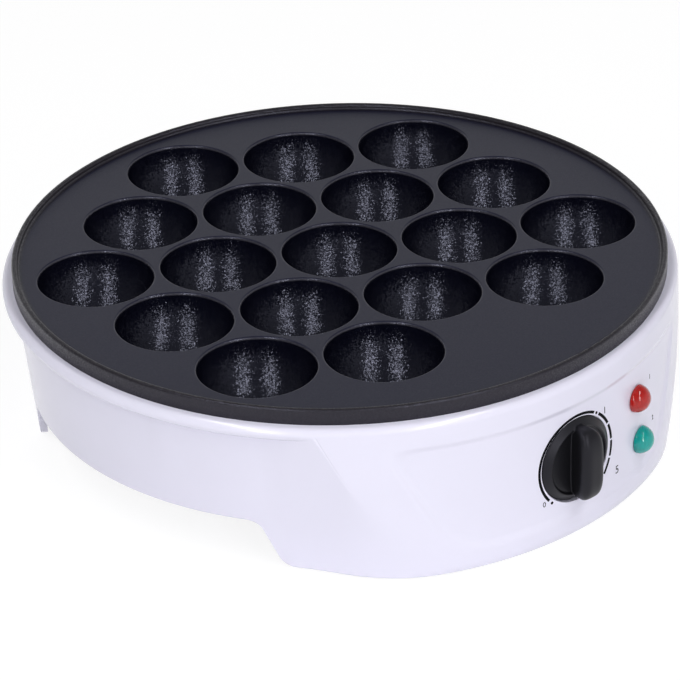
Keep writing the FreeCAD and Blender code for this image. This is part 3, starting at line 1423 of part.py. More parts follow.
def make_fuse():
    xs = (D.fuse_x - D.fuse_length / 2, D.fuse_x + D.fuse_length / 2)
    keep("thermal_fuse", rod_along_x("fuse_can", D.fuse, xs, D.fuse_y, fuse_height))
    inner = D.fuse + D.fuse_gap
    outer = inner + D.fuse_clip_sheet
    tab = outer + D.fuse_clip_tab
    top = D.pan_floor_low
    sheet = D.fuse_clip_sheet
    low = fuse_height - inner
    strap = drawn("fuse_strap", "YZ_Plane", [
        (D.fuse_y - tab, top - sheet),
        (D.fuse_y - outer, top - sheet),
        (D.fuse_y - outer, low - sheet),
        (D.fuse_y + outer, low - sheet),
        (D.fuse_y + outer, top - sheet),
        (D.fuse_y + tab, top - sheet),
        (D.fuse_y + tab, top),
        (D.fuse_y + inner, top),
        (D.fuse_y + inner, low),
        (D.fuse_y - inner, low),
        (D.fuse_y - inner, top),
        (D.fuse_y - tab, top),
    ], D.fuse_x - D.fuse_clip_width / 2, D.fuse_clip_width)
    holes = []
    rivets = []
    head = D.rivet_head_length
    for index, y in enumerate(fuse_rivet_ys()):
        span = (top - sheet - PAST, top + PAST)
        holes.append(rod(f"fuse_strap_hole_{index}", small_drill, D.fuse_x, y, span))
        grip = sheet + D.pan_sheet
        rivet = turned(f"fuse_pin_{index}", [
            (0, -head),
            (D.rivet_head, -head),
            (D.rivet_head, 0),
            (D.small_shank, 0),
            (D.small_shank, grip),
            (D.rivet_head, grip),
            (D.rivet_head, grip + head),
            (0, grip + head),
        ])
        rivets.append(put(rivet, D.fuse_x, y, top - sheet))
    keep("fuse_clip", cut("clip_fuse", strap, holes))
    keep("fuse_rivets", group("rivets", rivets))


def lead_solid(name, points):
    """A lead along straight runs joined by tangent arcs."""
    spots = [Vector(*(as_size(value).value for value in point)) for point in points]
    edges = []
    start = spots[0]
    for before, corner, after in zip(spots, spots[1:], spots[2:]):
        back = before - corner
        ahead = after - corner
        run = 0.45 * min(back.Length, ahead.Length)
        enter = corner + back.normalize() * run
        leave = corner + ahead.normalize() * run
        half = (math.pi - back.getAngle(ahead)) / 2
        radius = run / math.tan(half)
        middle_way = (back + ahead).normalize()
        middle = corner + middle_way * (radius / math.cos(half) - radius)
        edges.append(Part.LineSegment(start, enter).toShape())
        edges.append(Part.Arc(enter, middle, leave).toShape())
        start = leave
    edges.append(Part.LineSegment(start, spots[-1]).toShape())
    path = Part.Wire(edges)
    section = Part.Wire([Part.Circle(spots[0], spots[1] - spots[0], D.lead.value).toShape()])
    tube = path.makePipeShell([section], True, False)
    lead = doc.addObject("Part::Feature", name)
    lead.Shape = tube
    return lead


def make_leads():
    """The four insulated leads, each straight out of what it is joined to."""
    level = D.cover_high + D.block_lead_height
    low = level - D.lead_dip
    run = D.lead_run
    ring = D.element_ring
    block_front = D.block_y - D.block_half_depth
    tab_mid = pin_end - D.tab_sheet / 2
    right_x, right_y = element_end(1)[2:4]
    left_x, left_y = element_end(-1)[2:4]
    tab_front = right_y - D.tab_width / 2 + D.tab_length
    fuse_right = D.fuse_x + D.fuse_length / 2
    fuse_left = D.fuse_x - D.fuse_length / 2
    pitch = D.insulator_length + D.blade_sheet
    first_blade = -bracket_back + D.insulator_length + D.blade_sheet / 2
    last_blade = -bracket_back + pitch * (D.insulator_count - 1)
    blade_level = D.blade_low + D.blade_half * 0.7
    routes = {
        "live_lead": [
            (-D.block_pole, block_front, level),
            (-D.block_pole, block_front - run * 2, level),
            (ring * -0.37, ring * 0.33, low),
            (ring * -0.45, ring * -0.3, low),
            (ring * -0.45, ring * -0.97, low),
            (ring * -0.37, ring * -1.4, level),
            (ring * -0.2, first_blade, blade_level),
            (-D.blade_half, first_blade, blade_level),
        ],
        "neutral_lead": [
            (right_x, tab_front, tab_mid),
            (right_x, tab_front + run * 1.6, tab_mid),
            (ring * 0.37, ring * -0.3, low),
            (ring * 0.8, ring * 0.03, low),
            (ring * 0.97, ring * 0.4, level),
            (fuse_right + run * 1.1, D.fuse_y, fuse_height),
            (fuse_right, D.fuse_y, fuse_height),
        ],
        "switched_lead": [
            (left_x, tab_front, tab_mid),
            (left_x, tab_front + run * 0.8, tab_mid),
            (left_x - run * 0.6, tab_front + run * 1.3, tab_mid),
            (left_x - run * 1.2, tab_front + run * 0.8, tab_mid),
            (left_x - run * 1.2, left_y - run * 0.4, tab_mid),
            (left_x - run * 0.4, left_y - run * 1.6, tab_mid + D.blade_sheet),
            (0, left_y - run * 1.9, blade_level),
            (0, last_blade, blade_level),
        ],
        "fused_lead": [
            (fuse_left, D.fuse_y, fuse_height),
            (fuse_left - run * 1.1, D.fuse_y, fuse_height),
            (D.block_pole, block_front - run * 1.6, level),
            (D.block_pole, block_front, level),
        ],
    }
    for node, points in routes.items():
        keep(node, lead_solid(node, points))


def deliver():
    """Checks every object and writes each sub-part to its own file."""
    doc.recompute()
    for thing in doc.Objects:
        if "Invalid" in thing.State or "Error" in thing.State:
            raise RuntimeError(f"{thing.Name} did not compute")
    for node, thing in subparts.items():
        if thing.Shape.isNull() or not thing.Shape.isValid():
            raise RuntimeError(f"{node} has no valid shape")
        if not thing.Shape.Solids:
            raise RuntimeError(f"{node} holds no solid")
    os.makedirs("parts", exist_ok=True)
    for node, thing in subparts.items():
        thing.Shape.exportStep(f"parts/{node}.step")
        print(f"{node}: {len(thing.Shape.Solids)} solid(s), {thing.Shape.Volume:.0f} mm3")


make_plate()
make_element()
make_clamps()
make_reflector()
make_plate_mounting()
make_housing()
make_cover()
make_base_fasteners()
make_bracket()
make_contact_stack()
make_bush()
make_shaft()
make_knob()
make_lamps()
make_gland()
make_grip()
make_terminal_block()
make_fuse()
make_leads()
deliver()
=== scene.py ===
import json
import math

import bpy
from bpy.props import FloatProperty, FloatVectorProperty, PointerProperty
from mathutils import Matrix, Quaternion, Vector


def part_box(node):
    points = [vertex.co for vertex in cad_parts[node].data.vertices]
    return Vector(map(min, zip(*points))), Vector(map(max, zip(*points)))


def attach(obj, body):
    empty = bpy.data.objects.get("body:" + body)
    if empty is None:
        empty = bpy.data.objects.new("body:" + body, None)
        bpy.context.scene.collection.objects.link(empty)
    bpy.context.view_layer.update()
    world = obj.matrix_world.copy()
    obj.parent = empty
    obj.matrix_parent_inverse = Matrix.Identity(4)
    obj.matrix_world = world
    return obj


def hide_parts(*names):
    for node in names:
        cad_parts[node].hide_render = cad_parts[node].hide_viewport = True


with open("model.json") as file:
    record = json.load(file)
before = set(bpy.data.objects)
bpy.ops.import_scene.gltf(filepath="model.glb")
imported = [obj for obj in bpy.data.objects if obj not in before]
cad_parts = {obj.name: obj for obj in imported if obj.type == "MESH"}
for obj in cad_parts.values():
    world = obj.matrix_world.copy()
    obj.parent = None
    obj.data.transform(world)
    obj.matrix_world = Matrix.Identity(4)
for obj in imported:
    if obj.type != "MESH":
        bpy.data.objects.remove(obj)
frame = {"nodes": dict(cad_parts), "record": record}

bl_info = {
    "name": "Takoyaki maker",
    "version": (1, 0, 0),
    "blender": (4, 5, 0),
    "location": "View3D > Sidebar > Takoyaki maker",
    "description": "Housing, knob, pilot lamps, dial print, finishes and studio of a takoyaki maker",
    "category": "Add Mesh",
}

MM = 0.001
FRONT = Vector((0, -1, 0))
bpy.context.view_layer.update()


def middle(node, axis):
    low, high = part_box(node)
    return (low[axis] + high[axis]) / 2


# Places that the frame gives, in metres. The plate's rim stands over its land by LIP millimetres.
LIP = 1.9
AXIS_Y = middle("cooking_plate", 1)
PLATE_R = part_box("cooking_plate")[1][0]
LAND_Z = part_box("cooking_plate")[1][2] - LIP * MM
KNOB_Z = middle("control_knob", 2)
KNOB_TIP = -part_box("control_knob")[0][1]
LAMPS = {node: (middle(node, 0), middle(node, 2)) for node in ("red_lens", "green_lens")}


# Sizes and colours that a user would change.


def length(name, millimetres, note):
    return FloatProperty(name=name, default=millimetres * MM, unit="LENGTH", precision=5, description=note)


def share(name, value, note):
    return FloatProperty(name=name, default=value, min=0, max=1, subtype="FACTOR", description=note)


def strength(name, value, note):
    return FloatProperty(name=name, default=value, min=0, description=note)


def linear(text):
    """The linear colour of an sRGB hex value."""
    parts = [int(text[i:i + 2], 16) / 255 for i in (1, 3, 5)]
    return tuple(c / 12.92 if c <= 0.04045 else ((c + 0.055) / 1.055) ** 2.4 for c in parts)


def colour(name, text, note):
    return FloatVectorProperty(
        name=name, default=linear(text), subtype="COLOR", size=3, min=0, max=1, description=note)


class HousingSizes(bpy.types.PropertyGroup):
    wall: length("Wall", 2.6, "Thickness of the moulded wall")
    recess: length("Panel recess", 0.8, "Depth of the control panel below the pod's face")
    bead: length("Bead", 2.5, "Radius of the half round bead under the plate")
    edge: length("Lower edge", 0.6, "Round on the lower edge")
    groove: length("Pod line", 0.16, "Depth of the fine line where the pod leaves the bead")


class KnobSizes(bpy.types.PropertyGroup):
    flange: length("Flange", 15.15, "Radius of the flange")
    ring: length("Ring", 12.6, "Radius of the raised ring's crest")
    grip: length("Grip", 7.6, "Thickness of the grip at its root")
    softness: length("Edge softness", 0.17, "Grain of the surface that rounds the edges")


class PrintSizes(bpy.types.PropertyGroup):
    radius: length("Dial radius", 16.7, "Radius of the dial's arc")
    line: length("Dial line", 1.0, "Width of the dial's thin arc")
    bar: length("Dial bars", 1.05, "Width of the dial's segments")
    ink: length("Ink", 0.03, "Thickness of the printed ink")
    figure: length("Figures", 4.2, "Height of the figures")


class Finishes(bpy.types.PropertyGroup):
    plate: colour("Coating", "#0f1027", "Non-stick coating of the plate")
    housing: colour("Housing", "#ebe9fa", "Cool white of the moulded housing")
    knob: colour("Knob", "#121215", "Black of the knob")
    red: colour("Red lens", "#d8231c", "Red of the heating lamp's lens")
    green: colour("Green lens", "#08c4bc", "Green of the ready lamp's lens")
    gloss: share("Housing roughness", 0.2, "Roughness of the housing's skin")


class StudioSettings(bpy.types.PropertyGroup):
    boxes: strength("Strip lights", 25.5, "Radiance of the two arched strip lights")
    fill: strength("Room light", 0.42, "Strength of the light from all round")


# Ways to work on a mesh.


def deselect():
    if bpy.context.mode != "OBJECT":
        bpy.ops.object.mode_set(mode="OBJECT")
    bpy.ops.object.select_all(action="DESELECT")


def pick(thing, *others):
    """Selects things, the first of them active."""
    deselect()
    for each in (thing, *others):
        each.select_set(True)
    bpy.context.view_layer.objects.active = thing


def added(name, operator, **settings):
    """A new primitive with a name of its own."""
    deselect()
    operator(**settings)
    thing = bpy.context.active_object
    thing.name = name
    thing.data.name = name
    return thing


def modified(thing, kind, **settings):
    """Adds a modifier and applies it."""
    pick(thing)
    modifier = thing.modifiers.new(kind.title(), kind)
    for key, value in settings.items():
        setattr(modifier, key, value)
    bpy.ops.object.modifier_apply(modifier=modifier.name)
    return thing


def in_edit(thing, *steps):
    """Runs edit mode steps on all of a mesh."""
    pick(thing)
    bpy.ops.object.mode_set(mode="EDIT")
    bpy.ops.mesh.select_all(action="SELECT")
    for step, settings in steps:
        step(**settings)
    bpy.ops.object.mode_set(mode="OBJECT")
    return thing


def joined(name, things):
    pick(*things)
    bpy.ops.object.join()
    whole = bpy.context.active_object
    whole.name = name
    whole.data.name = name
    return whole


def settled(thing, matrix=None):
    """Puts a thing's place into its mesh, so that the object sits at the origin."""
    if matrix is not None:
        thing.matrix_world = matrix
    pick(thing)
    bpy.ops.object.transform_apply(location=True, rotation=True, scale=True)
    return thing


def finished(thing, body, nodes=(), material=None, angle=None):
    """Shades a piece and tells its body; one that stands for a node takes that node's finish."""
    pick(thing)
    if angle is None:
        bpy.ops.object.shade_smooth()
    else:
        bpy.ops.object.shade_smooth_by_angle(angle=math.radians(angle))
    if nodes:
        material = frame["nodes"][nodes[0]].material_slots[0].material
    thing.data.materials.clear()
    thing.data.materials.append(material)
    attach(thing, body)
    if nodes:
        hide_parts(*nodes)


def turned(name, profile, segments):
    """A turned piece about Z: a ring that is drawn out along its profile of (radius, height)."""
    pole = 0.001 * MM
    radius, height = profile[0]
    radius = max(radius, pole)
    thing = added(name, bpy.ops.mesh.primitive_circle_add, vertices=segments, radius=radius)
    bpy.ops.object.mode_set(mode="EDIT")
    bpy.ops.mesh.select_all(action="SELECT")
    bpy.ops.transform.translate(value=(0, 0, height))
    for next_radius, next_height in profile[1:]:
        next_radius = max(next_radius, pole)
        bpy.ops.mesh.extrude_edges_move()
        bpy.ops.transform.resize(
            value=(next_radius / radius, next_radius / radius, 1), center_override=(0, 0, height))
        bpy.ops.transform.translate(value=(0, 0, next_height - height))
        radius, height = next_radius, next_height
    bpy.ops.mesh.select_all(action="SELECT")
    bpy.ops.mesh.remove_doubles(threshold=3 * pole)
    bpy.ops.mesh.normals_make_consistent(inside=False)
    bpy.ops.object.mode_set(mode="OBJECT")
    return thing


def arc(centre, radius, start, end, steps):
    """Points of a profile round a corner, in degrees from the outward direction."""
    points = []
    for step in range(steps + 1):
        angle = math.radians(start + (end - start) * step / steps)
        points.append((centre[0] + radius * math.cos(angle), centre[1] + radius * math.sin(angle)))
    return points


# Finishes.


def surface(name):
    """A new material with its node tree and its shader."""
    material = bpy.data.materials.new(name)
    material.use_nodes = True
    tree = material.node_tree
    return material, tree, tree.nodes["Principled BSDF"]


def add(tree, kind, inputs=None, stops=(), **settings):
    """Adds a node; an input is a value or the socket that feeds it, a ramp's stop a place and its colour."""
    node = tree.nodes.new(kind)
    for key, value in settings.items():
        setattr(node, key, value)
    for key, value in (inputs or {}).items():
        if isinstance(value, bpy.types.NodeSocket):
            tree.links.new(value, node.inputs[key])
        else:
            node.inputs[key].default_value = value
    for index, (place, tone) in enumerate(stops):
        node.color_ramp.elements[index].position = place
        node.color_ramp.elements[index].color = (*tone, 1)
    return node


def shader_set(shader, **values):
    for key, value in values.items():
        shader.inputs[key.replace("_", " ")].default_value = value


def per_mm(size):
    """A texture scale for a pattern whose repeat is a size in millimetres."""
    return 1 / (size * MM)


def nonstick_coating(paint):
    """Sprayed fluoropolymer on die-cast aluminium."""
    # Coarse flakes glint in the cups, the lapped land between them is even, and the edge is browner.
    material, tree, shader = surface("sprayed_nonstick_coating")
    shader_set(shader, IOR=1.46, Specular_Tint=(0.76, 0.78, 1.0, 1))
    place = add(tree, "ShaderNodeTexCoord").outputs["Object"]
    height = add(tree, "ShaderNodeSeparateXYZ", {"Vector": place}).outputs["Z"]

    # The land lies at one height, inside the plate's edge.
    land = add(tree, "ShaderNodeMapRange", {
        "Value": height, "From Min": LAND_Z - 0.4 * MM, "From Max": LAND_Z - 0.1 * MM})
    from_axis = add(tree, "ShaderNodeVectorMath", {0: place, 1: (0, AXIS_Y, 0)}, operation="SUBTRACT")
    level = add(tree, "ShaderNodeVectorMath", {
        0: from_axis.outputs["Vector"], 1: (1, 1, 0)}, operation="MULTIPLY")
    reach = add(tree, "ShaderNodeVectorMath", {0: level.outputs["Vector"]}, operation="LENGTH")
    rim = add(tree, "ShaderNodeMapRange", {
        "Value": reach.outputs["Value"], "From Min": PLATE_R - 3.6 * MM, "From Max": PLATE_R - 2.0 * MM})
    smooth_land = add(tree, "ShaderNodeMath", {0: land.outputs["Result"], 1: rim.outputs["Result"]},
                      operation="SUBTRACT", use_clamp=True)

    # Each flake lies at its own slant. Flakes are drawn at a third of a millimetre, coarse enough to show.
    flakes = add(tree, "ShaderNodeTexVoronoi", {"Vector": place, "Scale": per_mm(0.33)}, feature="F1")
    slant = add(tree, "ShaderNodeVectorMath", {
        0: flakes.outputs["Color"], 1: (0.5, 0.5, 0.5)}, operation="SUBTRACT")
    amount = add(tree, "ShaderNodeMapRange", {
        "Value": smooth_land.outputs["Value"], "To Min": 0.25, "To Max": 0.04})
    lean = add(tree, "ShaderNodeVectorMath", {
        0: slant.outputs["Vector"], "Scale": amount.outputs["Result"]}, operation="SCALE")
    upright = add(tree, "ShaderNodeNewGeometry").outputs["Normal"]
    leaning = add(tree, "ShaderNodeVectorMath", {0: upright, 1: lean.outputs["Vector"]}, operation="ADD")
    normal = add(tree, "ShaderNodeVectorMath", {0: leaning.outputs["Vector"]}, operation="NORMALIZE")
    tree.links.new(normal.outputs["Vector"], shader.inputs["Normal"])

    # The cups are painted darker than the land as painted shade in the hollows, a paler band on their rounded
    # edges is a painted highlight, and the rim is brown.
    deep = tuple(c * 0.3 for c in paint)
    edge_highlight_tone = linear("#3b3a42")
    brown = linear("#221e21")
    tone = add(tree, "ShaderNodeMix", {
        "Factor": smooth_land.outputs["Value"], "A": (*deep, 1), "B": (*paint, 1)}, data_type="RGBA")
    # Painted highlight: a paler band along the cups' rounded edges, just below the land.
    low = add(tree, "ShaderNodeMapRange", {
        "Value": height, "From Min": LAND_Z - 1.1 * MM, "From Max": LAND_Z - 0.7 * MM})
    painted_edge_highlight = add(tree, "ShaderNodeMath", {
        0: low.outputs["Result"], 1: land.outputs["Result"]}, operation="SUBTRACT")
    with_edge_highlight = add(tree, "ShaderNodeMix", {
        "Factor": painted_edge_highlight.outputs["Value"], "A": tone.outputs["Result"], "B": (*edge_highlight_tone, 1)}, data_type="RGBA")
    edge = add(tree, "ShaderNodeMix", {
        "Factor": rim.outputs["Result"], "A": with_edge_highlight.outputs["Result"], "B": (*brown, 1)}, data_type="RGBA")
    grain = add(tree, "ShaderNodeTexNoise", {"Vector": place, "Scale": per_mm(0.7), "Detail": 2.0})
    speckle = add(tree, "ShaderNodeValToRGB", {"Fac": grain.outputs["Fac"]},
                  stops=((0.35, (0.25, 0.25, 0.25)), (0.65, (1.0, 1.0, 1.0))))
    fleck = add(tree, "ShaderNodeMix", {
        "Factor": 0.5, "A": edge.outputs["Result"], "B": speckle.outputs["Color"]},
        data_type="RGBA", blend_type="MULTIPLY")
    tree.links.new(fleck.outputs["Result"], shader.inputs["Base Color"])

    # The land is duller than the cups, both vary a little in broad clouds, and the rim is even.
    rough = add(tree, "ShaderNodeMapRange", {
        "Value": smooth_land.outputs["Value"], "To Min": 0.2, "To Max": 0.38})
    cloud = add(tree, "ShaderNodeTexNoise", {"Vector": place, "Scale": per_mm(14), "Detail": 2.0})
    uneven = add(tree, "ShaderNodeMapRange", {"Value": cloud.outputs["Fac"], "To Min": -0.02, "To Max": 0.02})
    both = add(tree, "ShaderNodeMath", {0: rough.outputs["Result"], 1: uneven.outputs["Result"]})
    dull = add(tree, "ShaderNodeMix", {
        "Factor": rim.outputs["Result"], "A": both.outputs["Value"], "B": 0.36}, data_type="FLOAT")
    tree.links.new(dull.outputs["Result"], shader.inputs["Roughness"])
    return material


def glossy_abs(paint, roughness):
    """Injection moulded ABS from a polished tool."""
    # Clear even gloss with a faint orange peel that softens reflections.
    material, tree, shader = surface("polished_moulded_abs")
    shader_set(shader, IOR=1.53, Roughness=roughness)
    place = add(tree, "ShaderNodeTexCoord").outputs["Object"]
    flow = add(tree, "ShaderNodeTexNoise", {"Vector": place, "Scale": per_mm(30), "Detail": 2.0})
    peel = add(tree, "ShaderNodeTexNoise", {"Vector": place, "Scale": per_mm(2.4), "Detail": 1.0})
    shade = tuple(c * 0.97 for c in paint)
    mix = add(tree, "ShaderNodeMix", {"Factor": flow.outputs["Fac"], "A": (*shade, 1), "B": (*paint, 1)},
              data_type="RGBA")
    tree.links.new(mix.outputs["Result"], shader.inputs["Base Color"])
    bump = add(tree, "ShaderNodeBump", {
        "Height": peel.outputs["Fac"], "Strength": 0.05, "Distance": 0.05 * MM})
    tree.links.new(bump.outputs["Normal"], shader.inputs["Normal"])
    return material


def grained_plastic(name, paint, roughness, grit, depth):
    """Moulded plastic from a spark eroded tool."""
    # The eroded grain breaks the gloss into a soft satin sheen.
    material, tree, shader = surface(name)
    shader_set(shader, IOR=1.36, Specular_Tint=(0.85, 0.84, 1.0, 1))
    place = add(tree, "ShaderNodeTexCoord").outputs["Object"]
    grain = add(tree, "ShaderNodeTexNoise", {"Vector": place, "Scale": per_mm(grit), "Detail": 3.0})
    tone = add(tree, "ShaderNodeTexNoise", {"Vector": place, "Scale": per_mm(9), "Detail": 1.0})
    dark = tuple(c * 0.85 for c in paint)
    mix = add(tree, "ShaderNodeMix", {"Factor": tone.outputs["Fac"], "A": (*dark, 1), "B": (*paint, 1)},
              data_type="RGBA")
    tree.links.new(mix.outputs["Result"], shader.inputs["Base Color"])
    rough = add(tree, "ShaderNodeMapRange", {
        "Value": grain.outputs["Fac"], "To Min": roughness - 0.05, "To Max": roughness + 0.07})
    tree.links.new(rough.outputs["Result"], shader.inputs["Roughness"])
    bump = add(tree, "ShaderNodeBump", {
        "Height": grain.outputs["Fac"], "Strength": depth, "Distance": 0.03 * MM})
    tree.links.new(bump.outputs["Normal"], shader.inputs["Normal"])
    return material


def tinted_polycarbonate(name, paint):
    """Clear tinted polycarbonate, moulded and polished."""
    # Light passes through the dome and picks up its colour, with sharp small highlights.
    material, tree, shader = surface(name)
    shader_set(shader, IOR=1.5, Roughness=0.07, Transmission_Weight=0.4)
    place = add(tree, "ShaderNodeTexCoord").outputs["Object"]
    swirl = add(tree, "ShaderNodeTexNoise", {"Vector": place, "Scale": per_mm(2.5), "Detail": 1.0})
    deep = tuple(c * 0.8 for c in paint)
    mix = add(tree, "ShaderNodeMix", {"Factor": swirl.outputs["Fac"], "A": (*deep, 1), "B": (*paint, 1)},
              data_type="RGBA")
    tree.links.new(mix.outputs["Result"], shader.inputs["Base Color"])
    return material


def lamp_glass():
    """Drawn soda-lime glass of a neon lamp."""
    # Clear and smooth with faint draw lines.
    material, tree, shader = surface("drawn_lamp_glass")
    shader_set(shader, IOR=1.52, Transmission_Weight=0.9, Base_Color=(*linear("#f3ece2"), 1))
    place = add(tree, "ShaderNodeTexCoord").outputs["Object"]
    streak = add(tree, "ShaderNodeTexNoise", {"Vector": place, "Scale": per_mm(1.5)})
    rough = add(tree, "ShaderNodeMapRange", {"Value": streak.outputs["Fac"], "To Min": 0.02, "To Max": 0.1})
    tree.links.new(rough.outputs["Result"], shader.inputs["Roughness"])
    return material


def sheet_metal(name, paint, roughness, grain, stretch):
    """Rolled or plated metal sheet and turned parts."""
    # Fine lines from rolling stretch the highlights, and plated or annealed parts have an even grain.
    material, tree, shader = surface(name)
    shader_set(shader, Metallic=1.0)
    place = add(tree, "ShaderNodeTexCoord").outputs["Object"]
    drawn = add(tree, "ShaderNodeMapping", {"Vector": place, "Scale": (1, stretch, stretch)})
    lines = add(tree, "ShaderNodeTexNoise", {
        "Vector": drawn.outputs["Vector"], "Scale": per_mm(grain), "Detail": 3.0})
    dark = tuple(c * 0.8 for c in paint)
    mix = add(tree, "ShaderNodeMix", {"Factor": lines.outputs["Fac"], "A": (*dark, 1), "B": (*paint, 1)},
              data_type="RGBA")
    tree.links.new(mix.outputs["Result"], shader.inputs["Base Color"])
    rough = add(tree, "ShaderNodeMapRange", {
        "Value": lines.outputs["Fac"], "To Min": roughness - 0.08, "To Max": roughness + 0.1})
    tree.links.new(rough.outputs["Result"], shader.inputs["Roughness"])
    bump = add(tree, "ShaderNodeBump", {
        "Height": lines.outputs["Fac"], "Strength": 0.12, "Distance": 0.02 * MM})
    tree.links.new(bump.outputs["Normal"], shader.inputs["Normal"])
    return material


def steatite():
    """Pressed and fired steatite."""
    # Chalky off-white with fine pores.
    material, tree, shader = surface("fired_steatite")
    shader_set(shader, IOR=1.6)
    place = add(tree, "ShaderNodeTexCoord").outputs["Object"]
    pores = add(tree, "ShaderNodeTexNoise", {"Vector": place, "Scale": per_mm(0.6), "Detail": 4.0})
    tone = add(tree, "ShaderNodeValToRGB", {"Fac": pores.outputs["Fac"]},
               stops=((0.3, linear("#cfc8b8")), (0.7, linear("#e9e4d8"))))
    tree.links.new(tone.outputs["Color"], shader.inputs["Base Color"])
    rough = add(tree, "ShaderNodeMapRange", {"Value": pores.outputs["Fac"], "To Min": 0.55, "To Max": 0.75})
    tree.links.new(rough.outputs["Result"], shader.inputs["Roughness"])
    bump = add(tree, "ShaderNodeBump", {
        "Height": pores.outputs["Fac"], "Strength": 0.2, "Distance": 0.03 * MM})
    tree.links.new(bump.outputs["Normal"], shader.inputs["Normal"])
    return material


def printed_ink():
    """Pad printed ink."""
    # Dull black film, a little uneven where the pad lifted.
    material, tree, shader = surface("pad_printed_ink")
    shader_set(shader, IOR=1.12, Roughness=0.6)
    place = add(tree, "ShaderNodeTexCoord").outputs["Object"]
    lift = add(tree, "ShaderNodeTexNoise", {"Vector": place, "Scale": per_mm(0.8), "Detail": 2.0})
    tone = add(tree, "ShaderNodeValToRGB", {"Fac": lift.outputs["Fac"]},
               stops=((0.2, linear("#060609")), (0.8, linear("#121217"))))
    tree.links.new(tone.outputs["Color"], shader.inputs["Base Color"])
    return material


# The housing. Its sizes are in millimetres, with radii from the plate's axis and directions from the front.

SKIRT_LOW, SKIRT_R, SKIRT_FLARE = 1.0, 107.8, 0.1
WALL_TOP = 54.1
BEAD_R, BEAD_Z = 114.7, 56.8
RIM_Z, RIM_BORE = 59.3, 110.0

# The pod: a leaning face with a tucked lower edge between two drafted flanks with rounded corners.
# It sinks into the skirt between two directions, and a fillet joins them.
FACE_LOW, FACE_TOP, FACE_KNEE, FACE_TUCK = 118.9, 117.2, 4.5, 1.5
CORNER_TURN, CORNER_HUB, CORNER = math.radians(22), 58.3, 60.0
FLANK_TURN = math.radians(60)
DRAFT = math.tan(math.radians(8))
POD_FILLET = 1.6
POD_END = math.radians(75)
SINK, SINK_START, SINK_END = 3, math.radians(50), math.radians(61)

# The edge between face and flank is soft at the foot and sharp at the top, where a fine line follows it.
EDGE_SHARP, EDGE_SOFTER, EDGE_SOFT_Z, EDGE_SHARP_Z = 0.1, 1.3, 14, 46
LINE_HALF, LINE_FAINT_Z, LINE_FULL_Z = 0.3, 34, 50

# The recess's outline as (half width, height), with its corners' rounds and the width of its step.
PANEL_R = 117.8
RECESS_TOP, RECESS_KNEE, RECESS_LOW = (65.7, 49.65), (54.8, 24.0), (45.5, 9.6)
KNEE_ROUND, TOP_ROUND, LOW_ROUND = 3.0, 8.2, 10.0
STEP_WIDTH, STEP_NARROWS, STEP_WIDE_Z, STEP_NARROW_Z = 3.4, 0.8, 10, 34

# The arches: their height, the round of their corners, and where the slant of each foot starts and ends.
ARCH_TOP, ARCH_ROUND = 18.7, 5
FRONT_STEP, BACK_STEP = (-66.5, -61), (57.5, 49.5)

# The knob's seat: how far it lies behind the knob's tip, its clearance, its cut and the pad behind it.
SEAT_BACK, SEAT_GAP, SEAT_CUT = 11.5, 0.3, 9
PAD, PAD_FULL, PAD_END = 2.4, 16.4, 19.6
LENS_HOLE, SHAFT_HOLE, GLAND_HOLE, HOLE_DEPTH = 4.3, 6.5, 5.9, 16

# The mesh: columns from the front round to the back, and wall rows as (start, end, count) on a foot.
COLUMN_COUNTS = (54, 12, 16, 12, 22, 44, 34, 40, 34)
HALF_COLUMNS = sum(COLUMN_COUNTS)
FRONT_SLANT = (math.radians(50.5), math.radians(59))
BACK_SLANT = (math.radians(114), math.radians(123.5))
WALL_ROWS = ((1.6, 7.0, 11), (7.0, 12.4, 12), (12.4, 47.4, 32), (47.4, 51.9, 15), (51.9, WALL_TOP, 3))
BEAD_STEPS, INNER_STEPS = 16, 20


def smooth(value, low, high):
    """An even rise from 0 at one value to 1 at another."""
    part = min(max((value - low) / (high - low), 0), 1)
    return part * part * (3 - 2 * part)


def blend_max(first, second, width):
    """The larger of two values, with the crease between them rounded."""
    reach = max(width - abs(first - second), 0) / width
    return max(first, second) + reach * reach * width / 4


def blend_min(first, second, width):
    return -blend_max(-first, -second, width)


def skirt_at(z):
    return SKIRT_R + SKIRT_FLARE * (z - SKIRT_LOW)


def face_at(z):
    """Radius of the pod's face at a height."""
    if z < FACE_KNEE:
        return FACE_LOW - FACE_TUCK * ((FACE_KNEE - z) / (FACE_KNEE - SKIRT_LOW)) ** 2
    return FACE_LOW + (min(z, BEAD_Z) - FACE_KNEE) * (FACE_TOP - FACE_LOW) / (BEAD_Z - FACE_KNEE)


def corner_at(z):
    """Radius of the pod's rounded corner, about its hub, at a height."""
    return CORNER + (min(z, BEAD_Z) - SKIRT_LOW) * DRAFT


def flank_at(turn, z):
    """Radius of the pod's drafted flank at a direction and height."""
    corner = corner_at(z)
    if turn < CORNER_TURN:
        return CORNER_HUB + corner
    from_hub = turn - CORNER_TURN
    across = CORNER_HUB * math.sin(from_hub)
    along = CORNER_HUB * math.cos(from_hub)
    radius = along + math.sqrt(corner * corner - across * across)
    normal = turn + math.asin(across / corner)
    if normal <= FLANK_TURN:
        return radius
    flat = CORNER_HUB * math.cos(FLANK_TURN - CORNER_TURN) + corner
    return flat / math.cos(turn - FLANK_TURN)


def pod_line(z):
    """Direction of the line between the pod's face and its flank."""
    face = face_at(z)
    cosine = (face * face + CORNER_HUB ** 2 - corner_at(z) ** 2) / (2 * face * CORNER_HUB)
    return CORNER_TURN + math.acos(min(cosine, 1))


def beyond(x, z, upper, lower):
    """Distance outside a slanted line of the recess's outline."""
    run = upper[0] - lower[0]
    rise = upper[1] - lower[1]
    return ((x - lower[0]) * rise - (z - lower[1]) * run) / math.hypot(run, rise)


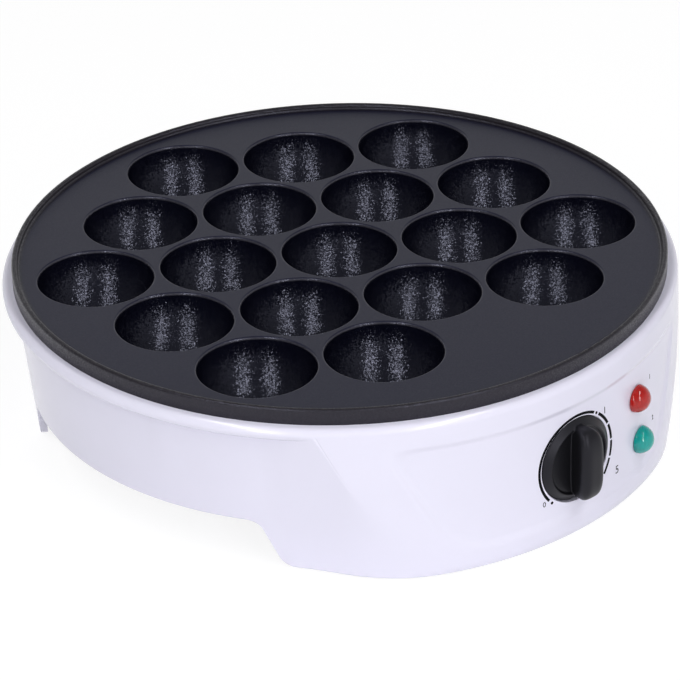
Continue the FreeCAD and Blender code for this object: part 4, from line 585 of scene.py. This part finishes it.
def recess_share(x, z):
    """How much of the recess's depth is reached at a place on the pod's face."""
    upper = beyond(abs(x), z, RECESS_TOP, RECESS_KNEE)
    lower = beyond(abs(x), z, RECESS_KNEE, RECESS_LOW)
    side = blend_max(upper, lower, KNEE_ROUND)
    edge = blend_max(side, z - RECESS_TOP[1], TOP_ROUND)
    edge = blend_max(edge, RECESS_LOW[1] - z, LOW_ROUND)
    width = STEP_WIDTH - STEP_NARROWS * smooth(z, STEP_WIDE_Z, STEP_NARROW_Z)
    return 1 - smooth(edge, -width / 2, width / 2)


def recess_side(z):
    """Direction of the recess's side at a height."""
    rise = min(max(z, RECESS_KNEE[1]), RECESS_TOP[1]) - RECESS_KNEE[1]
    slope = (RECESS_TOP[0] - RECESS_KNEE[0]) / (RECESS_TOP[1] - RECESS_KNEE[1])
    return math.asin((RECESS_KNEE[0] + rise * slope) / PANEL_R)


def outer_at(turn, z, depth, groove):
    """Radius of the housing's outer skin, for a depth of the recess and of the pod line."""
    turn = abs(turn)
    skirt = skirt_at(z)
    if turn > POD_END:
        return skirt
    face = face_at(z)
    soft = EDGE_SHARP + EDGE_SOFTER * (1 - smooth(z, EDGE_SOFT_Z, EDGE_SHARP_Z))
    pod = blend_min(flank_at(turn, z), face, soft)
    from_line = (turn - pod_line(z)) * face
    pod -= SINK * smooth(turn, SINK_START, SINK_END)
    pod -= groove * math.exp(-(from_line / LINE_HALF) ** 2) * smooth(z, LINE_FAINT_Z, LINE_FULL_Z)
    pod -= depth * recess_share(pod * math.sin(turn), z)
    return blend_max(skirt, pod, POD_FILLET)


def arch_step(y, foot_y, arch_y):
    """Height of the slanted step from a foot up into an arch, with rounded corners."""
    way = 1 if arch_y > foot_y else -1
    along = (y - foot_y) * way
    run = (arch_y - foot_y) * way
    slant = math.atan2(ARCH_TOP - SKIRT_LOW, run)
    cut = ARCH_ROUND * math.tan(slant / 2)
    if along <= -cut:
        return SKIRT_LOW
    if along < cut * math.cos(slant):
        return SKIRT_LOW + ARCH_ROUND - math.sqrt(max(ARCH_ROUND ** 2 - (along + cut) ** 2, 0))
    if along >= run + cut:
        return ARCH_TOP
    if along > run - cut * math.cos(slant):
        return ARCH_TOP - ARCH_ROUND + math.sqrt(max(ARCH_ROUND ** 2 - (run + cut - along) ** 2, 0))
    return SKIRT_LOW + along * math.tan(slant)


def low_edge(turn):
    """Height of the housing's lower edge at a direction from the front."""
    # The wall's reach depends on its height, so the height settles in damped steps.
    steps, damping, over_edge = 12, 0.7, 0.8
    z = SKIRT_LOW
    for _ in range(steps):
        y = -outer_at(turn, z + over_edge, 0, 0) * math.cos(turn)
        z += (arch_step(y, *(FRONT_STEP if y < 0 else BACK_STEP)) - z) * damping
    return z


def even(start, end, count):
    """Evenly spaced values, without the end."""
    return [start + (end - start) * i / count for i in range(count)]


def column_turns(z):
    """Directions of the mesh's columns on the right side, closest along edges."""
    # Bands of columns go along the recess's side and the pod line, their half widths in millimetres.
    mm = 1 / 117
    side_band, line_band, least_band = 1.8 * mm, 0.9 * mm, 3.2 * mm
    side = recess_side(z)
    line = min(pod_line(z), math.radians(48))
    knots = [0, side - side_band, side + side_band, line - line_band, line + line_band,
             *FRONT_SLANT, *BACK_SLANT, math.pi]
    if knots[3] < knots[2]:
        # Where the bands would overlap, they meet halfway.
        spare = (knots[2] + knots[3]) / 2
        knots[3] = max(knots[3], spare)
        knots[2] = min(knots[2], spare) - 0.2 * mm
        knots[4] = knots[3] + 2 * line_band
        knots[1] = min(knots[1], knots[2] - least_band)
    turns = []
    for low, high, count in zip(knots, knots[1:], COLUMN_COUNTS):
        turns += even(low, high, count)
    return turns + [math.pi]


def wall_heights():
    """Heights of the outer rows on a foot, closest along the recess's edges."""
    return [z for row in WALL_ROWS for z in even(*row)] + [WALL_TOP]


def housing_shell(sizes):
    """The outer skin, the bead, the rim and the inner wall as one closed mesh."""
    edge = sizes.edge / MM
    wall = sizes.wall / MM
    bead = sizes.bead / MM
    recess = sizes.recess / MM
    groove = sizes.groove / MM
    wall_low = WALL_ROWS[0][0]
    # Each row goes once round, and all of them together go once round the wall's section.
    tags = [("low", 0), ("round", 0), ("round", 30), ("round", 60)]
    tags += [("wall", (z - wall_low) / (WALL_TOP - wall_low)) for z in wall_heights()]
    tags += [("bead", -90 + 180 * step / BEAD_STEPS) for step in range(BEAD_STEPS + 1)]
    tags += [("rim", RIM_Z), ("rim", WALL_TOP)]
    tags += [("inner", 1 - step / INNER_STEPS) for step in range(INNER_STEPS + 1)]
    turns_at = {}
    lows = {}

    def turn_of(column, z):
        """Direction of a column at a height."""
        key = round(z, 2)
        if key not in turns_at:
            turns_at[key] = column_turns(z)
        step = column - HALF_COLUMNS
        return math.copysign(turns_at[key][abs(step)], step)

    def inner_place(column, z):
        """Direction, radius and height of the inner wall, which is thicker behind the knob's seat."""
        flush = 0.05
        turn = turn_of(column, z)
        skirt_wall = min(RIM_BORE, skirt_at(z) - wall)
        outside = outer_at(turn, z, 0, 0)
        if outside - skirt_at(z) < flush:
            return turn, skirt_wall, z
        from_knob = math.hypot(outside * math.sin(turn), z - KNOB_Z / MM)
        pad = PAD * (1 - smooth(from_knob, PAD_FULL, PAD_END)) if abs(turn) < math.pi / 2 else 0
        return turn, max(skirt_wall, outside - wall - pad), z

    def place(column, tag):
        """Direction, radius and height of the mesh's point where a column crosses a row."""
        kind, value = tag
        if column not in lows:
            lows[column] = low_edge(turn_of(column, SKIRT_LOW + 2))
        low = lows[column]
        if kind == "wall":
            z = low + edge + value * (WALL_TOP - low - edge)
            turn = turn_of(column, z)
            return turn, outer_at(turn, z, recess, groove), z
        if kind == "bead":
            angle = math.radians(value)
            z = BEAD_Z + bead * math.sin(angle)
            radius = BEAD_R + bead * math.cos(angle)
            turn = turn_of(column, min(z, BEAD_Z))
            if z < BEAD_Z:
                radius = max(radius, outer_at(turn, z, recess, groove))
            return turn, radius, z
        if kind == "rim":
            return turn_of(column, BEAD_Z), RIM_BORE, value
        if kind == "inner":
            return inner_place(column, low + value * (WALL_TOP - low))
        turn = turn_of(column, low)
        outside = outer_at(turn, low + edge, 0, 0)
        if kind == "low":
            return turn, outside - wall, low
        angle = math.radians(value)
        return turn, outside - edge * (1 - math.sin(angle)), low + edge * (1 - math.cos(angle))

    columns = 2 * HALF_COLUMNS
    rows = len(tags)
    shell = added("housing_moulding", bpy.ops.mesh.primitive_grid_add,
                  x_subdivisions=columns, y_subdivisions=rows, size=2)
    spots = []
    for vertex in shell.data.vertices:
        column = round((vertex.co.x + 1) / 2 * columns)
        row = round((vertex.co.y + 1) / 2 * rows) % rows
        turn, radius, z = place(column, tags[row])
        spots += (radius * math.sin(turn) * MM, AXIS_Y - radius * math.cos(turn) * MM, z * MM)
    shell.data.vertices.foreach_set("co", spots)
    shell.data.update()
    return in_edit(
        shell,
        (bpy.ops.mesh.remove_doubles, {"threshold": 0.01 * MM}),
        (bpy.ops.mesh.normals_make_consistent, {"inside": False}),
    )


def panel_frame(x, z):
    """The place on the panel at a sideways distance and height, with its outward direction."""
    radius = face_at(z / MM) * MM - bpy.context.scene.housing_sizes.recess
    turn = math.asin(x / radius)
    out = Vector((math.sin(turn), -math.cos(turn), 0))
    return Vector((0, AXIS_Y, z)) + out * radius, out


def facing(place, out):
    """A matrix that takes Z to the outward direction and Y to up."""
    side = Vector((0, 0, 1)).cross(out).normalized()
    up = out.cross(side)
    return Matrix.Translation(place) @ Matrix((side, up, out)).transposed().to_4x4()


class TAKO_OT_housing(bpy.types.Operator):
    """Makes the moulded housing with its bead, arches, pod and panel recess"""

    bl_idname = "tako.housing"
    bl_label = "Housing"

    def execute(self, context):
        scene = context.scene
        shell = housing_shell(scene.housing_sizes)
        gland = Vector((middle("cord_gland", 0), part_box("cord_gland")[1][1], middle("cord_gland", 2)))
        holes = [(*panel_frame(*spot), LENS_HOLE) for spot in LAMPS.values()]
        holes.append((*panel_frame(0, KNOB_Z), SHAFT_HOLE))
        holes.append((gland, Vector((0, 1, 0)), GLAND_HOLE))
        drills = []
        for index, (place, out, radius) in enumerate(holes):
            drill = added(f"drill_{index}", bpy.ops.mesh.primitive_cylinder_add,
                          vertices=48, radius=radius * MM, depth=HOLE_DEPTH * MM)
            drills.append(settled(drill, facing(place, out)))
        # The knob's flat seat is milled first, then the shaft's hole runs on through it.
        seat = Vector((0, -KNOB_TIP + SEAT_BACK * MM, KNOB_Z))
        mill = added("drill_seat", bpy.ops.mesh.primitive_cylinder_add, vertices=128,
                     radius=scene.knob_sizes.flange + SEAT_GAP * MM, depth=SEAT_CUT * MM)
        mill = settled(mill, facing(seat - Vector((0, SEAT_CUT / 2 * MM, 0)), FRONT))
        for tool in (mill, joined("housing_drills", drills)):
            modified(shell, "BOOLEAN", object=tool, operation="DIFFERENCE", solver="EXACT")
            bpy.data.objects.remove(tool)
        finished(shell, "body", ["housing"], angle=38)
        return {"FINISHED"}


# The knob, in millimetres, with heights over the flange's back.

KNOB_HEIGHT = 11.2
HUB_R, HUB_LENGTH = 5.2, 3.0
FLANGE_BEVEL, FLANGE_EDGE = 0.25, 1.1
RING_HEIGHT, HOLLOW_FLOOR = 3.0, 2.2
GRIP_MIDDLE, GRIP_SUNK, GRIP_REACH = 1, 0.8, 0.8
TAPER_ROOT, TAPER_GAIN, TAPER_LOW, TAPER_HIGH = 0.82, 0.56, 1, KNOB_HEIGHT - 2


def knob_dish(flange, ring):
    """The hub, the flange and the ring round the finger hollows, its crest drawn point by point."""
    profile = [
        (0, -HUB_LENGTH), (HUB_R, -HUB_LENGTH), (HUB_R, 0),
        (flange - FLANGE_BEVEL, 0), (flange, FLANGE_BEVEL), (flange, FLANGE_EDGE),
        (flange - FLANGE_BEVEL, FLANGE_EDGE + 0.3), (ring + 0.55, RING_HEIGHT - 0.35),
        (ring + 0.2, RING_HEIGHT - 0.05), (ring - 0.2, RING_HEIGHT), (ring - 0.5, RING_HEIGHT - 0.25),
        (ring - 0.7, HOLLOW_FLOOR), (0, HOLLOW_FLOOR),
    ]
    return turned("knob_dish", [(r * MM, h * MM) for r, h in profile], 144)


def knob_blade(ring, grip):
    """The grip: a ball drawn out with full rounded ends, thickest near its tip."""
    blade = added("knob_blade", bpy.ops.mesh.primitive_uv_sphere_add, segments=128, ring_count=96, radius=1)
    for vertex in blade.data.vertices:
        x, y, z = vertex.co
        swell = (x ** 4 + y ** 4 + z ** 4) ** -0.25
        rise = z * swell * ((KNOB_HEIGHT - GRIP_MIDDLE) if z > 0 else GRIP_SUNK)
        taper = TAPER_ROOT + TAPER_GAIN * smooth(rise, TAPER_LOW, TAPER_HIGH)
        across = x * swell * grip / 2 * taper
        along = y * swell * (ring + GRIP_REACH)
        vertex.co = Vector((across, along, rise + GRIP_MIDDLE)) * MM
    return blade


class TAKO_OT_knob(bpy.types.Operator):
    """Makes the control knob: flange, raised ring, finger hollows and grip"""

    bl_idname = "tako.knob"
    bl_label = "Knob"

    def execute(self, context):
        sizes = context.scene.knob_sizes
        ring = sizes.ring / MM
        dish = knob_dish(sizes.flange / MM, ring)
        knob = joined("knob_moulding", [dish, knob_blade(ring, sizes.grip / MM)])
        knob = modified(knob, "REMESH", mode="VOXEL", voxel_size=sizes.softness, use_smooth_shade=True)
        knob = modified(knob, "SMOOTH", factor=0.5, iterations=6)
        knob = modified(knob, "DECIMATE", ratio=0.5)
        settled(knob, facing(Vector((0, -KNOB_TIP + KNOB_HEIGHT * MM, KNOB_Z)), FRONT))
        finished(knob, "knob", ["control_knob"])
        return {"FINISHED"}


# The pilot lamps, in millimetres, with heights over the panel.

LENS_BARREL, LENS_BORE, LENS_LENGTH = 4.2, 3.2, 8.0
DOME_R, DOME_RISE = 4.9, 0.1
FLUTES, FLUTE_DEPTH = 12, 0.035


def lens_dome(name):
    """A domed lens on a barrel, hollow from behind, with flutes down its inside."""
    dome = arc((0, DOME_RISE), DOME_R, 2, 90, 14)[:-1]
    outline = [(LENS_BORE, -LENS_LENGTH), (LENS_BARREL, -LENS_LENGTH), (LENS_BARREL, 0.2)]
    outline += dome + [(0, DOME_R + DOME_RISE)]
    hollow = [(LENS_BORE, -LENS_LENGTH), (LENS_BORE, 0.6), (3.15, 1.7), (2.7, 2.8), (1.6, 3.4), (0, 3.65)]
    skin = turned(name + "_skin", [(r * MM, h * MM) for r, h in outline], 72)
    inside = turned(name + "_inside", [(r * MM, h * MM) for r, h in hollow], 72)
    for vertex in inside.data.vertices:
        # The open end stays round, to meet the skin.
        if vertex.co.z > (0.1 - LENS_LENGTH) * MM:
            wave = 1 + FLUTE_DEPTH * math.cos(FLUTES * math.atan2(vertex.co.y, vertex.co.x))
            vertex.co.x *= wave
            vertex.co.y *= wave
    in_edit(inside, (bpy.ops.mesh.flip_normals, {}))
    lens = joined(name + "_dome", [skin, inside])
    return in_edit(lens, (bpy.ops.mesh.remove_doubles, {"threshold": 0.005 * MM}))


class TAKO_OT_lenses(bpy.types.Operator):
    """Makes the two domed pilot lenses with fluted insides"""

    bl_idname = "tako.lenses"
    bl_label = "Pilot lenses"

    def execute(self, context):
        for node, spot in LAMPS.items():
            lens = settled(lens_dome(node), facing(*panel_frame(*spot)))
            finished(lens, "body", [node], angle=35)
        return {"FINISHED"}


# The dial's print.


def wrapped(thing, x, z, lift):
    """Lays a flat print, drawn about the origin, on the panel round a place."""
    for vertex in thing.data.vertices:
        place, out = panel_frame(x + vertex.co.x, z + vertex.co.y)
        vertex.co = place + out * (vertex.co.z + lift)
    thing.data.update()


def ring_part(name, radius, width, start, end, ink):
    """A flat stretch of a ring, its ends at clock angles in degrees."""
    steps = max(2, round((end - start) / 2))
    part = added(name, bpy.ops.mesh.primitive_grid_add, x_subdivisions=steps, y_subdivisions=1, size=2)
    for vertex in part.data.vertices:
        turn = math.radians(start + (end - start) * (vertex.co.x + 1) / 2)
        reach = radius + width / 2 * vertex.co.y
        vertex.co = (reach * math.sin(turn), reach * math.cos(turn), 0)
    in_edit(part, (bpy.ops.mesh.normals_make_consistent, {"inside": False}))
    return modified(part, "SOLIDIFY", thickness=ink, offset=0)


# Marks lie at clock angles in degrees. A figure is (text, sideways, up, scale), from the knob or a lamp.
DIAL_ARC = (-129, 29)
DIAL_BARS = ((38, 63), (66, 87), (89.5, 109), (111.5, 131))
DIAL_DOTS, DOT_R = (-135, 33.5), 0.55
DIAL_FIGURES = (("0", -15.0, -11.4, 0.65), ("1", 13.5, 12.9, 0.85), ("5", 19.8, -12.8, 1))
LAMP_FIGURES, LAMP_FIGURE_PLACE = ("1", "2"), (9.4, 3.4, 0.62)
DIAL_ASIDE, DIAL_DROP, INK_GAP = 0.45, 0.5, 0.01


def dial_dot(name, radius, turn, ink):
    """A dot at a clock angle in degrees."""
    spot = math.radians(turn)
    dot = added(name, bpy.ops.mesh.primitive_circle_add, vertices=24, radius=DOT_R * MM, fill_type="NGON")
    dot = settled(dot, Matrix.Translation((radius * math.sin(spot), radius * math.cos(spot), 0)))
    return modified(dot, "SOLIDIFY", thickness=ink, offset=0)


def dial_figure(text, x, z, height, ink):
    """A figure with its middle at a place in millimetres."""
    figure = added("dial_figure_" + text, bpy.ops.object.text_add)
    figure.data.body = text
    figure.data.size = height
    figure.data.align_x = "CENTER"
    figure.data.align_y = "CENTER"
    figure.data.extrude = ink / 2
    figure.data.resolution_u = 8
    pick(figure)
    bpy.ops.object.convert(target="MESH")
    return settled(bpy.context.active_object, Matrix.Translation((x * MM, z * MM, 0)))


class TAKO_OT_print(bpy.types.Operator):
    """Prints the dial's arc, bars, dots and figures on the panel"""

    bl_idname = "tako.print"
    bl_label = "Dial print"

    def execute(self, context):
        sizes = context.scene.print_sizes
        radius, ink = sizes.radius, sizes.ink
        marks = [ring_part("dial_arc", radius, sizes.line, *DIAL_ARC, ink)]
        for index, (start, end) in enumerate(DIAL_BARS):
            marks.append(ring_part(f"dial_bar_{index}", radius, sizes.bar, start, end, ink))
        for index, turn in enumerate(DIAL_DOTS):
            marks.append(dial_dot(f"dial_dot_{index}", radius, turn, ink))
        figures = list(DIAL_FIGURES)
        aside, over, scale = LAMP_FIGURE_PLACE
        for text, (x, z) in zip(LAMP_FIGURES, LAMPS.values()):
            figures.append((text, x / MM + aside, (z - KNOB_Z) / MM + over, scale))
        for text, x, z, scale in figures:
            marks.append(dial_figure(text, x, z, sizes.figure * scale, ink))
        dial = joined("dial_print", marks)
        wrapped(dial, DIAL_ASIDE * MM, KNOB_Z - DIAL_DROP * MM, ink / 2 + INK_GAP * MM)
        finished(dial, "body", material=printed_ink(), angle=30)
        return {"FINISHED"}


# The finish of each slot. A piece modelled here takes that of the node it stands for.


class TAKO_OT_finishes(bpy.types.Operator):
    """Gives every piece of the frame its finish"""

    bl_idname = "tako.finishes"
    bl_label = "Finishes"

    def execute(self, context):
        finishes = context.scene.finishes
        # After the colour come roughness, grain in millimetres, and the stretch of metal or depth of plastic.
        slots = {
            "cast_plate": nonstick_coating(finishes.plate),
            "sheath_steel": sheet_metal("annealed_sheath_steel", linear("#6e6a64"), 0.5, 0.5, 1),
            "plated_steel": sheet_metal("zinc_plated_steel", linear("#c9c9c4"), 0.3, 0.4, 1),
            "reflector_aluminium": sheet_metal("rolled_aluminium", linear("#e3e4e6"), 0.25, 0.5, 8),
            "ceramic_white": steatite(),
            "housing_white": glossy_abs(finishes.housing, finishes.gloss),
            "cover_white": grained_plastic("eroded_white_abs", linear("#dddbe6"), 0.45, 0.25, 0.3),
            "foot_rubber": grained_plastic("moulded_black_rubber", linear("#26262a"), 0.78, 0.3, 0.4),
            "contact_brass": sheet_metal("rolled_brass", linear("#d6b263"), 0.3, 0.4, 4),
            "knob_black": grained_plastic("eroded_black_abs", finishes.knob, 0.4, 0.12, 0.25),
            "lens_red": tinted_polycarbonate("tinted_polycarbonate_red", finishes.red),
            "lens_green": tinted_polycarbonate("tinted_polycarbonate_green", finishes.green),
            "neon_glass": lamp_glass(),
            "sleeve_silicone": grained_plastic("extruded_silicone", linear("#dcdad2"), 0.55, 0.5, 0.1),
            "gland_black": grained_plastic("moulded_black_nylon", linear("#1b1b1e"), 0.5, 0.25, 0.3),
            "lead_jacket": grained_plastic("extruded_silicone_jacket", linear("#d8d6cf"), 0.5, 0.6, 0.1),
        }
        for part in frame["record"]["subparts"]:
            for place in frame["nodes"][part["node"]].material_slots:
                place.material = slots[part["material_slot"]]
        return {"FINISHED"}


# The studio, in metres and degrees.

CAMERA_PLACE = Vector((-0.74206, AXIS_Y - 0.86113, 0.66514))
CAMERA_AIM = Vector((-0.04248, AXIS_Y - 0.0483, 0.063))
CAMERA_ROLL, CAMERA_LENS = -1.674, 196.15
STRIPS_AHEAD = Vector((-0.652, -0.758, 0)).normalized()
STRIPS_ASIDE = {"left": -0.4, "right": 0.42}
STRIPS_RISE = {"low": 20, "middle": 47, "high": 74}
STRIP_DISTANCE, STRIP_WIDTH, STRIP_HEIGHT = 1.6, 0.07, 0.7
WHITE = (1, 1, 1, 1)


def strip_light(name, aside, rise, radiance):
    """A soft rectangular light on an arch over the object, a share of its distance to one side."""
    angle = math.radians(rise)
    up = Vector((0, 0, 1))
    span = math.sqrt(1 - aside * aside)
    side = up.cross(STRIPS_AHEAD)
    back = (STRIPS_AHEAD * math.cos(angle) + up * math.sin(angle)) * span + side * aside
    along = up * math.cos(angle) - STRIPS_AHEAD * math.sin(angle)
    lamp = added(name, bpy.ops.object.light_add, type="AREA", location=back * STRIP_DISTANCE)
    lamp.rotation_mode = "QUATERNION"
    lamp.rotation_quaternion = Matrix((along.cross(back), along, back)).transposed().to_quaternion()
    lamp.data.shape = "RECTANGLE"
    lamp.data.size = STRIP_WIDTH
    lamp.data.size_y = STRIP_HEIGHT
    lamp.data.energy = radiance * math.pi * STRIP_WIDTH * STRIP_HEIGHT


def backdrop_rays(tree):
    """One for the rays that see the backdrop, from the camera, off gloss or through a lens, else zero."""
    seen = add(tree, "ShaderNodeLightPath").outputs
    rays = seen["Is Camera Ray"]
    for kind in ("Is Glossy Ray", "Is Transmission Ray"):
        rays = add(tree, "ShaderNodeMath", {0: rays, 1: seen[kind]}, operation="MAXIMUM").outputs["Value"]
    return rays


def studio_floor():
    """White paper that glows a little where it is seen, like the backdrop behind it."""
    floor = added("floor", bpy.ops.mesh.primitive_plane_add, size=8)
    paper, tree, shader = surface("white_paper_floor")
    shader_set(shader, Base_Color=(*linear("#f4f4f5"), 1), Roughness=0.9, Specular_IOR_Level=0.1)
    glow = add(tree, "ShaderNodeEmission", {"Color": WHITE, "Strength": 1.2})
    part = add(tree, "ShaderNodeMath", {0: backdrop_rays(tree), 1: 0.7}, operation="MULTIPLY")
    both = add(tree, "ShaderNodeMixShader", {
        0: part.outputs["Value"], 1: shader.outputs["BSDF"], 2: glow.outputs["Emission"]})
    tree.links.new(both.outputs["Shader"], tree.nodes["Material Output"].inputs["Surface"])
    floor.data.materials.append(paper)


def studio_room(fill):
    """A world that lights from all round, its backdrop white."""
    world = bpy.data.worlds.new("studio_room")
    world.use_nodes = True
    tree = world.node_tree
    rays = backdrop_rays(tree)
    light = add(tree, "ShaderNodeMix", {"Factor": rays, "A": fill, "B": 1.0}, data_type="FLOAT")
    # The studio's ceiling is darker than its walls.
    way = add(tree, "ShaderNodeSeparateXYZ", {"Vector": add(tree, "ShaderNodeTexCoord").outputs["Generated"]})
    ceiling = add(tree, "ShaderNodeMapRange", {
        "Value": way.outputs["Z"], "From Min": 0.15, "From Max": 0.65, "To Min": 1.0, "To Max": 0.3})
    # A dark screen stands at the left.
    screen = add(tree, "ShaderNodeMapRange", {
        "Value": way.outputs["X"], "From Min": -0.95, "From Max": -0.25, "To Min": 0.25, "To Max": 1.0})
    shade = add(tree, "ShaderNodeMath", {
        0: screen.outputs["Result"], 1: ceiling.outputs["Result"]}, operation="MULTIPLY")
    room = add(tree, "ShaderNodeMath", {
        0: light.outputs["Result"], 1: shade.outputs["Value"]}, operation="MULTIPLY")
    back = tree.nodes["Background"]
    tree.links.new(room.outputs["Value"], back.inputs["Strength"])
    back.inputs["Color"].default_value = WHITE
    return world


class TAKO_OT_studio(bpy.types.Operator):
    """Sets up the camera, the floor and the soft studio light"""

    bl_idname = "tako.studio"
    bl_label = "Studio"

    def execute(self, context):
        scene = context.scene
        camera = added("camera", bpy.ops.object.camera_add, location=CAMERA_PLACE)
        camera.rotation_mode = "QUATERNION"
        gaze = (CAMERA_AIM - CAMERA_PLACE).to_track_quat("-Z", "Y")
        camera.rotation_quaternion = gaze @ Quaternion((0, 0, 1), math.radians(CAMERA_ROLL))
        camera.data.lens = CAMERA_LENS
        camera.data.sensor_width = 36
        camera.data.clip_end = 20
        scene.camera = camera
        scene.view_settings.view_transform = "Standard"

        # Two narrow arches of light run from either side of the camera up over the plate.
        for side, aside in STRIPS_ASIDE.items():
            for level, rise in STRIPS_RISE.items():
                strip_light(f"strip_{side}_{level}", aside, rise, scene.studio.boxes)
        studio_floor()
        scene.world = studio_room(scene.studio.fill)
        return {"FINISHED"}


class TAKO_PT_panel(bpy.types.Panel):
    bl_idname = "TAKO_PT_panel"
    bl_label = "Takoyaki maker"
    bl_space_type = "VIEW_3D"
    bl_region_type = "UI"
    bl_category = "Takoyaki maker"

    def draw(self, context):
        layout = self.layout
        for name, (label, _) in GROUPS.items():
            box = layout.box()
            box.label(text=label)
            settings = getattr(context.scene, name)
            for key in settings.bl_rna.properties.keys():
                if key not in ("rna_type", "name"):
                    box.prop(settings, key)
        for operator in OPERATORS:
            layout.operator(operator.bl_idname)


GROUPS = {
    "housing_sizes": ("Housing", HousingSizes),
    "knob_sizes": ("Knob", KnobSizes),
    "print_sizes": ("Dial print", PrintSizes),
    "finishes": ("Finishes", Finishes),
    "studio": ("Studio", StudioSettings),
}
OPERATORS = (TAKO_OT_studio, TAKO_OT_finishes, TAKO_OT_housing, TAKO_OT_knob, TAKO_OT_lenses, TAKO_OT_print)


def register():
    for name, (_, group) in GROUPS.items():
        bpy.utils.register_class(group)
        setattr(bpy.types.Scene, name, PointerProperty(type=group))
    for operator in (*OPERATORS, TAKO_PT_panel):
        bpy.utils.register_class(operator)


def unregister():
    for operator in (*OPERATORS, TAKO_PT_panel):
        bpy.utils.unregister_class(operator)
    for name, (_, group) in GROUPS.items():
        delattr(bpy.types.Scene, name)
        bpy.utils.unregister_class(group)


def main():
    register()
    bpy.ops.tako.studio()
    bpy.ops.tako.finishes()
    bpy.ops.tako.housing()
    bpy.ops.tako.knob()
    bpy.ops.tako.lenses()
    bpy.ops.tako.print()


if __name__ == "__main__":
    main()
